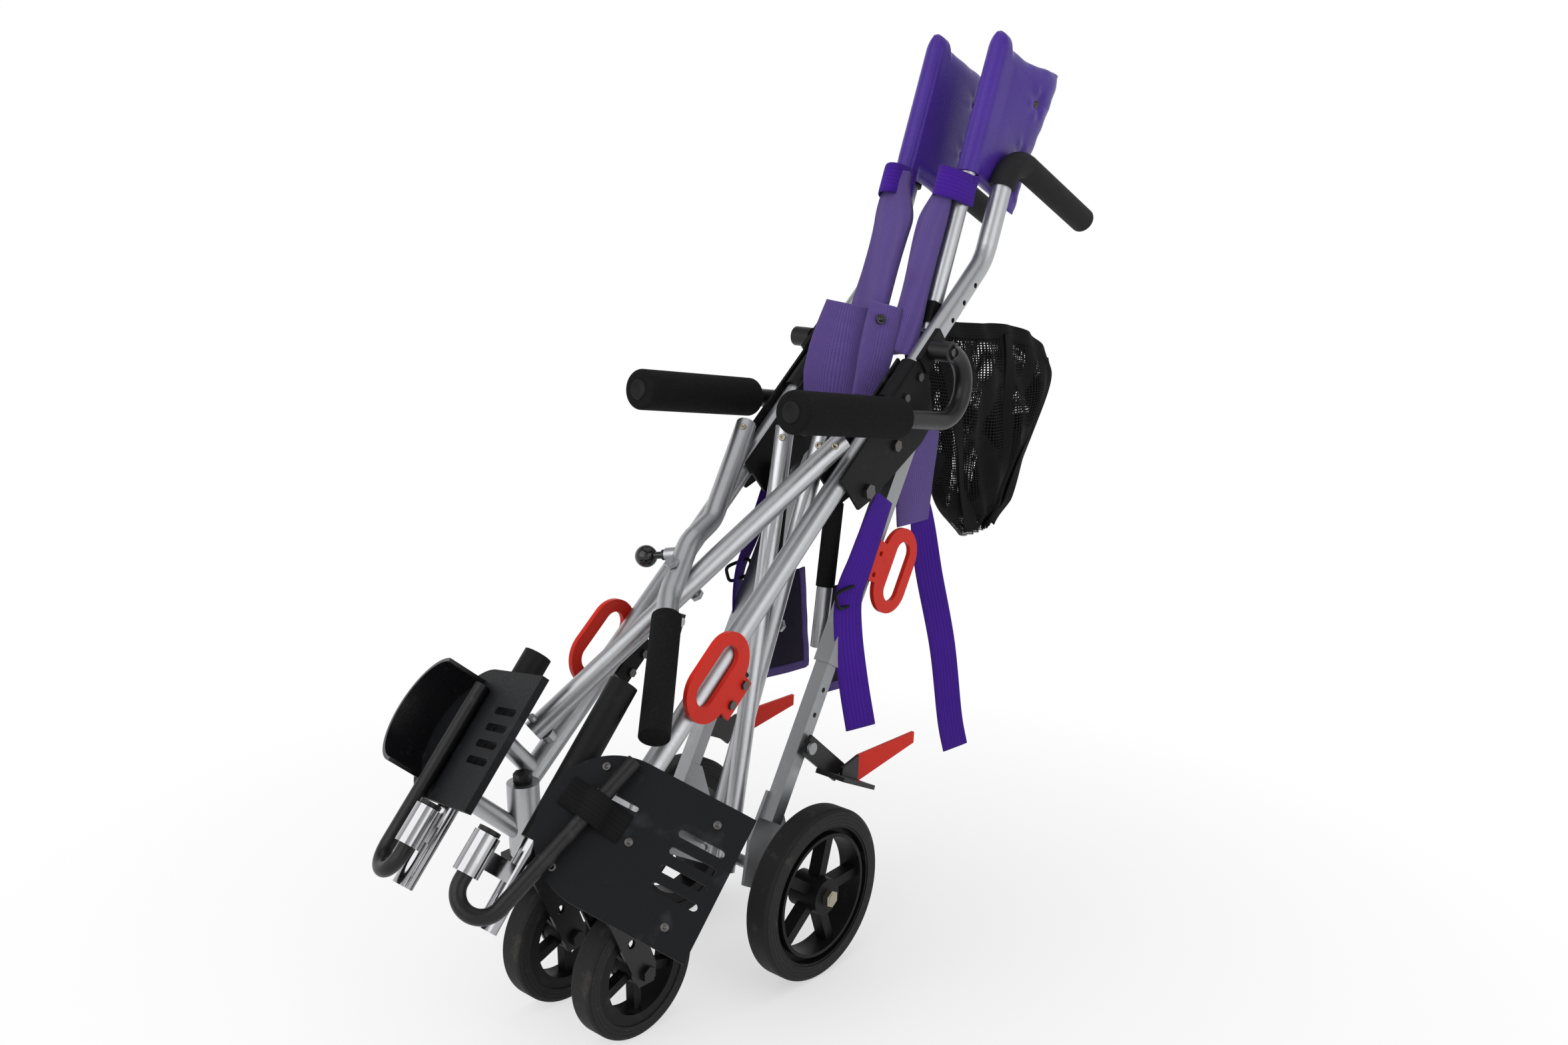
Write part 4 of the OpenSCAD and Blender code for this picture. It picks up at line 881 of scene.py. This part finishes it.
def bag_point(v, g, wide):
    """The bag's skin in buggy millimetres. v runs from the mouth to the bottom, g round it from the front
    edge over the left side to the rear edge. Front and rear edges are curves in the side view; the half width
    is a power of the sine of g, sagging to its fullest below the middle, with slanting folds as waves."""
    front = curve([[302, 726], [318, 640], [352, 545], [388, 470], [448, 408]], 80)
    rear = curve([[642, 640], [652, 596], [610, 530], [556, 462], [512, 411]], 80)
    place = np.linspace(0, 1, 80)
    f = np.stack([np.interp(v, place, front[:, k]) for k in (0, 1)], -1)
    r = np.stack([np.interp(v, place, rear[:, k]) for k in (0, 1)], -1)
    share = ((1 - np.cos(g)) / 2)[..., None]
    side = f + (r - f) * share
    sag = 14 * np.sin(np.pi * v) * np.sin(np.pi * share[..., 0]) ** 2
    half = wide * (0.8 + 0.32 * np.sin(np.pi * np.clip(v, 0, 1) ** 0.8)) * (1 - 0.62 * smooth(v, 0.8, 1.0))
    half = half * (0.55 + 0.45 * smooth(side[..., 0], 330, 420))
    fold = 5.5 * np.sin(g * 5 + v * 9) * np.sin(np.pi * v) ** 0.5
    fold = fold + 3.0 * np.sin(11 * share[..., 0] * np.pi - 6 * v)
    x = power(np.sin(g), 0.7) * half + fold * np.sin(g)
    crumple = 9 * np.sin(g * 3 + 2.0) * smooth(v, 0.25, 0)
    return stand(stacked(np.clip(x, -38, 38), side[..., 0], side[..., 1] - sag + crumple))


class BUGGY_OT_mesh_bag(bpy.types.Operator):
    """Sagging net bag behind the backrest, with binding tapes and a solid cloth panel"""
    bl_idname = "buggy.mesh_bag"
    bl_label = "Net bag"

    def execute(self, context):
        sizes = context.scene.buggy_sizes
        v = np.linspace(0, 1, 90)[:, None]
        g = even_turns(150)[None]
        rows = bag_point(v, g, BAG_HALF)
        around = even_turns(120)
        mouth = bag_point(np.full(120, 0.004), around, BAG_HALF)
        down = unit(bag_point(np.full(120, 0.05), around, BAG_HALF) - mouth)
        longer = np.vstack([down[-2:], down, down[:2]])
        build("bag_mouth_tape", ring(mouth, longer, flat_band(0.02, 0.0022, 20)), "left_frame",
                           "black_webbing", loop=True, size=(0.044, 0.8))
        for k, angle in enumerate((0.9, 1.75, 2.45, 3.14, 4.1, 5.0)):
            way = np.linspace(0.01, 0.97, 70)
            path = bag_point(way, np.full(70, angle), BAG_HALF)
            aside = bag_point(way, np.full(70, angle + 0.06), BAG_HALF) - path
            tape = sweep(path, aside, flat_band(0.019, 0.0024, 16))
            build(f"bag_tape_{k}", tape, "left_frame", "black_webbing", ends="strip",
                               size=(0.042, 0.35))
        v = np.linspace(0.42, 0.985, 50)[:, None]
        lining = bag_point(v, np.linspace(1.75, 4.1, 60)[None], LINING_HALF)
        build("bag_panel", lining, "left_frame", "black_webbing", wrap=False, size=(0.25, 0.2),
                           wall=sizes.net_wall)
        shell = build("net_bag_shell", rows, "left_frame", "net", ends="none", size=(0.72, 0.36),
                      wall=sizes.net_wall)
        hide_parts("mesh_bag")
        return {"FINISHED"}


# Fittings

class BUGGY_OT_foot_fittings(bpy.types.Operator):
    """Webbing toe strap and screws of the left footplate"""
    bl_idname = "buggy.foot_fittings"
    bl_label = "Footplate fittings"

    def execute(self, context):
        turn, face = FOOT_TURN["left"], SLAB_FACES[1] + 0.1
        axis = way_of(on_foot, (0, 1, 0), turn, 1)
        for k, (u, v) in enumerate(((27, 186), (27, 82), (145, 186), (145, 82), (79, 134))):
            screw(f"left_plate_screw_{k}", on_foot(u, face, v, turn, 1), axis, 0.0045, "left_foot")
        knots = np.array([[4, 25.9], [15, 26.4], [21, 30], [25.5, 38], [36, 42.6], [46.5, 38], [51, 30],
                          [57, 26.4], [70, 25.9]])
        path = curve(np.stack([knots[:, 0], knots[:, 1], 118 + 0.12 * knots[:, 0]], -1), 70)
        line = on_foot(path[:, 0], path[:, 1], path[:, 2], turn, 1)
        rows = sweep(line, way_of(on_foot, (0, 0, 1), turn, 1), flat_band(0.03, 0.0022, 24))
        cloth_piece("left_toe_strap", rows, "left_foot", "black_webbing",
                    sub=0)
        return {"FINISHED"}


def tube_tops():
    """Body, radius, top middle and axis of each cross tube in metres. Two joints lie on the front cross
    tube's axis, and the fold lever's upper part is its mirror image. The rear tubes run from their foot
    joints past the cross bolt, half their distance apart on either side of it."""
    spot = {name: np.array(joint["pos_m"]) for name, joint in JOINTS.items() if "pos_m" in joint}
    axis = unit(spot["lever_bolt"] - spot["front_bar_pivot"])
    top = spot["lever_bolt"] + FRONT_ABOVE * axis
    found = {"front_cross": ("front_bar", 0.012, top, axis)}
    flip = np.array([-1, 1, 1])
    found["fold_lever"] = ("lever", 0.012, top * flip + [2 * FOLD_X, 0, 0], axis * flip)
    across = np.array(JOINTS["cross_bolt"]["axis"]) * REAR_APART / 2
    for side, s in SIDES.items():
        middle = spot["cross_bolt"] + s * across
        axis = unit(middle - spot[f"cross_{side}_foot"])
        found[f"rear_cross_{side}"] = (f"cross_{side}", 0.011, middle + REAR_ABOVE * axis, axis)
    return found


class BUGGY_OT_small_fittings(bpy.types.Operator):
    """End discs of the armrest foam and bolt heads at the tops of the cross tubes"""
    bl_idname = "buggy.small_fittings"
    bl_label = "Small fittings"

    def execute(self, context):
        for side, s in SIDES.items():
            centre = stand(np.array(ARM_END) * [s, 1, 1])
            axis = turned([0.0, -0.985, 0.174])
            profile = [(0.0118, -0.001), (0.0118, 0.0006), (0.0108, 0.0014), (0.0085, 0.0014),
                       (0.0075, 0.0008), (0.0003, 0.0006)]
            build(f"{side}_arm_end_disc", lathe(centre, axis, profile, 30), f"{side}_armrest",
                  "black_plastic", size=(0.03, 0.02))
        for name, (body, radius, top, axis) in tube_tops().items():
            way = np.array([0.5, -0.85, 0.1])
            way = unit(way - axis * (way @ axis))
            screw(f"{name}_bolt_head", top - 0.014 * axis + way * radius, way, 0.0042, body, "zinc")
        return {"FINISHED"}


# Finishes of the CAD pieces

PLAIN = {
    "main_tube": "silver", "back_post": "silver", "bracket": "black_plastic", "frame_bolts": "steel",
    "rest_holder": "black_plastic", "push_grip": "rubber", "front_tiedown": "red", "rear_leg": "grey",
    "leg_lower": "grey", "rear_tiedown": "red", "rear_rim": "black_plastic", "brake_lever": "black_paint",
    "caster_fork": "black_paint", "caster_rim": "black_plastic", "arm_tube": "black_paint",
    "arm_grip": "foam", "rest_tube": "chrome", "foot_tube": "black_paint", "footplate": "plate",
    "seat_rail": "silver", "head_pad": "vinyl", "back_canvas": "canvas", "seat_panel": "seat_net",
}
SINGLE = {
    "rear_cross_left": "silver", "rear_cross_right": "silver", "front_cross": "silver",
    "fold_lever": "silver", "lever_grip": "foam", "lever_knob": "gloss_black", "mesh_bag": "net",
    "leg_strap": "webbing", "stay_link": "black_paint",
}


def centres(node):
    """Middle points of a node's faces in metres, as one array."""
    found = np.zeros(len(node.data.polygons) * 3)
    node.data.polygons.foreach_get("center", found)
    return found.reshape(-1, 3)


def lowest(node):
    """Height in metres of the lowest corner of each of a node's faces."""
    mesh = node.data
    points = np.zeros(len(mesh.vertices) * 3)
    mesh.vertices.foreach_get("co", points)
    corner = np.zeros(len(mesh.loops), np.int32)
    mesh.loops.foreach_get("vertex_index", corner)
    first = np.zeros(len(mesh.polygons), np.int32)
    mesh.polygons.foreach_get("loop_start", first)
    return np.minimum.reduceat(points[2::3][corner], first)


def part_finish(node, where, finish):
    """Gives the faces chosen by a mask a second finish."""
    node.data.materials.append(finishes()[finish])
    index = np.zeros(len(node.data.polygons), np.int32)
    node.data.polygons.foreach_get("material_index", index)
    index[where] = len(node.data.materials) - 1
    node.data.polygons.foreach_set("material_index", index)


class BUGGY_OT_finishes(bpy.types.Operator):
    """Gives every CAD piece its finish, and some faces a second one"""
    bl_idname = "buggy.finishes"
    bl_label = "Finishes"

    def execute(self, context):
        nodes = frame["nodes"]
        plan = dict(SINGLE)
        for side in SIDES:
            plan.update({f"{side}_{k}": finish for k, finish in PLAIN.items()})
            plan.update({f"{side}_{k}": f"{side}_{k}" for k in ("rear_tyre", "caster_tyre")})
        for name, finish in plan.items():
            node = nodes[name]
            node.data.materials.clear()
            node.data.materials.append(finishes()[finish])
            node.data.polygons.foreach_set("material_index", np.zeros(len(node.data.polygons), np.int32))
        for side, s in SIDES.items():
            lever = nodes[f"{side}_brake_lever"]
            tip = centres(lever)
            part_finish(lever, tip[:, 1] > tip[:, 1].max() - BRAKE_SLEEVE, "red_sleeve")
            rail = nodes[f"{side}_seat_rail"]
            foot = lowest(rail)
            part_finish(rail, foot > foot.min() + BARE_RAIL, "foam")
            plate = nodes[f"{side}_footplate"]
            base = on_foot(0.0, 0.0, 0.0, FOOT_TURN[side], s)
            height = (centres(plate) - base) @ way_of(on_foot, (0, 1, 0), FOOT_TURN[side], s) * 1000
            part_finish(plate, (height < SLAB_FACES[0] - 0.3) | (height > SLAB_FACES[1] + 0.3), "band")
            leg = nodes[f"{side}_leg_lower"]
            out = centres(leg)[:, 0] * s
            part_finish(leg, out > out.max() - AXLE_NUT, "zinc")
        return {"FINISHED"}


# Studio

class BUGGY_OT_studio(bpy.types.Operator):
    """Camera at the photograph's viewing angle, pale floor, soft lights and white surroundings that darken
    overhead in gloss as a painted reflection
    """
    bl_idname = "buggy.studio"
    bl_label = "Studio"

    def execute(self, context):
        studio, scene = context.scene.buggy_studio, context.scene
        scene.view_settings.view_transform = "Standard"
        c, s = math.cos(VIEW_TURN), math.sin(VIEW_TURN)
        level, dip = math.cos(VIEW_DIP), math.sin(VIEW_DIP)
        right = turned([c, s, 0])
        up = turned([-s * dip, c * dip, level])
        ahead = turned([-s * level, c * level, -dip])
        eye = stand(EYE)
        camera = bpy.data.objects.new("camera", bpy.data.cameras.new("camera"))
        camera.data.lens, camera.data.sensor_width = studio.lens, 36
        columns = np.eye(4)
        columns[:3] = np.stack([right, up, -ahead, eye], 1)
        camera.matrix_world = Matrix(columns.tolist())
        scene.collection.objects.link(camera)
        scene.camera = camera
        self.light("key light", eye + up * 0.9 - right * 1.5 - ahead * 0.1, studio.key_power, 2.4)
        self.light("fill light", eye + right * 1.6 + up * 0.2 - ahead * 0.1, studio.fill_power, 2.0)
        self.light("top light", np.array([0.0, 0.2, 2.9]), studio.fill_power * 1.4, 2.6)
        self.floor()
        self.world(studio)
        return {"FINISHED"}

    def light(self, name, place, power, size):
        """A square area light that faces the middle of the buggy."""
        lamp = bpy.data.lights.new(name, "AREA")
        lamp.energy, lamp.size = power, size
        made = bpy.data.objects.new(name, lamp)
        back = unit(np.asarray(place) - np.array([0, 0, 0.5]))
        side = unit(np.cross([0.02, 0.01, 1.0], back))
        columns = np.eye(4)
        columns[:3] = np.stack([side, np.cross(back, side), back, place], 1)
        made.matrix_world = Matrix(columns.tolist())
        bpy.context.scene.collection.objects.link(made)

    def seen(self, net):
        """1 for rays from the camera, straight or through gloss or a clear surface, and 0 for other light."""
        path = net.node("ShaderNodeLightPath").outputs
        direct = net.math("MAXIMUM", path["Is Camera Ray"], path["Is Glossy Ray"])
        return net.math("MAXIMUM", direct, path["Is Transmission Ray"])

    def floor(self):
        """A flat grid under the wheels whose paint takes a soft shadow and turns to plain white far out."""
        half, rows = 30, 41
        line = np.linspace(-half, half, rows)
        x, y = np.meshgrid(line, line, indexing="ij")
        corner = (np.arange(rows - 1)[:, None] * rows + np.arange(rows - 1)).ravel()
        faces = np.stack([corner, corner + rows, corner + rows + 1, corner + 1], -1)
        mesh = bpy.data.meshes.new("floor")
        mesh.from_pydata(stacked(x, y, 0 * x - 0.0005).reshape(-1, 3).tolist(), [], faces.tolist())
        mesh.validate()
        mesh.update()
        ground = bpy.data.objects.new("floor", mesh)
        bpy.context.scene.collection.objects.link(ground)
        material, net, shader = start("pale floor", {"Roughness": 0.85, "Specular IOR Level": 0.1})
        where = net.node("ShaderNodeTexCoord").outputs["Object"]
        speck = net.noise(where, 900.0, 2)
        paint = net.mix(speck, (0.90, 0.90, 0.905, 1), (0.94, 0.94, 0.945, 1))
        net.feed(shader, Base_Color=paint)
        away = net.node("ShaderNodeVectorMath", {0: where}, operation="LENGTH").outputs[1]
        seen = self.seen(net)
        glow = net.node("ShaderNodeEmission", {"Color": (1, 1, 1, 1), "Strength": 1.0}).outputs[0]
        share = net.math("MULTIPLY", seen, net.span(away, 0.15, 1.0, 0.55, 1.0))
        joined = net.node("ShaderNodeMixShader", {0: share, 1: shader.outputs[0], 2: glow}).outputs[0]
        net.feed(net.tree.nodes["Material Output"], Surface=joined)
        mesh.materials.append(material)

    def world(self, studio):
        """Even white light. To the camera and in gloss it is white low down and darkens to 0.16 overhead, a
        painted reflection that is not the light it sheds.
        """
        world = bpy.data.worlds.new("studio")
        bpy.context.scene.world = world
        world.use_nodes = True
        net = Net(world.node_tree)
        base = world.node_tree.nodes["Background"]
        base.inputs[0].default_value, base.inputs[1].default_value = (1, 1, 1, 1), studio.world_level
        seen = self.seen(net)
        where = net.node("ShaderNodeTexCoord").outputs["Generated"]
        way = net.node("ShaderNodeSeparateXYZ", {0: where}).outputs[2]
        # Painted reflection: camera, gloss and clear rays see white low down, darkening to 0.16 towards the
        # zenith, while the light the world sheds stays even white.
        tone = net.mix(net.span(way, 0.3, 0.85), (1, 1, 1, 1), (0.16, 0.16, 0.17, 1))
        white = net.node("ShaderNodeBackground", {0: tone, 1: 1.0}).outputs[0]
        mixed = net.node("ShaderNodeMixShader", {0: seen, 1: base.outputs[0], 2: white}).outputs[0]
        net.feed(net.tree.nodes["World Output"], Surface=mixed)


# Add-on

OPERATORS = (BUGGY_OT_studio, BUGGY_OT_finishes, BUGGY_OT_head_pads, BUGGY_OT_back_canvas, BUGGY_OT_straps,
             BUGGY_OT_seat_cloth, BUGGY_OT_mesh_bag, BUGGY_OT_foot_fittings, BUGGY_OT_small_fittings)


class BUGGY_PT_panel(bpy.types.Panel):
    """Lists the buggy's settings and steps"""
    bl_idname = "BUGGY_PT_panel"
    bl_label = "Folding buggy"
    bl_space_type = "VIEW_3D"
    bl_region_type = "UI"
    bl_category = "Buggy"

    def draw(self, context):
        for group in (context.scene.buggy_sizes, context.scene.buggy_colours, context.scene.buggy_studio):
            for key in group.bl_rna.properties.keys():
                if key not in ("rna_type", "name"):
                    self.layout.prop(group, key)
        for step in OPERATORS:
            self.layout.operator(step.bl_idname)


CLASSES = (BuggySizes, BuggyColours, BuggyStudio, *OPERATORS, BUGGY_PT_panel)
GROUPS = {"buggy_sizes": BuggySizes, "buggy_colours": BuggyColours, "buggy_studio": BuggyStudio}


def register():
    for made in CLASSES:
        bpy.utils.register_class(made)
    for name, group in GROUPS.items():
        setattr(bpy.types.Scene, name, bpy.props.PointerProperty(type=group))


def unregister():
    for name in GROUPS:
        delattr(bpy.types.Scene, name)
    for made in reversed(CLASSES):
        bpy.utils.unregister_class(made)


def main():
    """Registers the add-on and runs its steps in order."""
    register()
    for step in OPERATORS:
        group, name = step.bl_idname.split(".")
        getattr(getattr(bpy.ops, group), name)()
    bpy.context.view_layer.update()


if __name__ == "__main__":
    main()
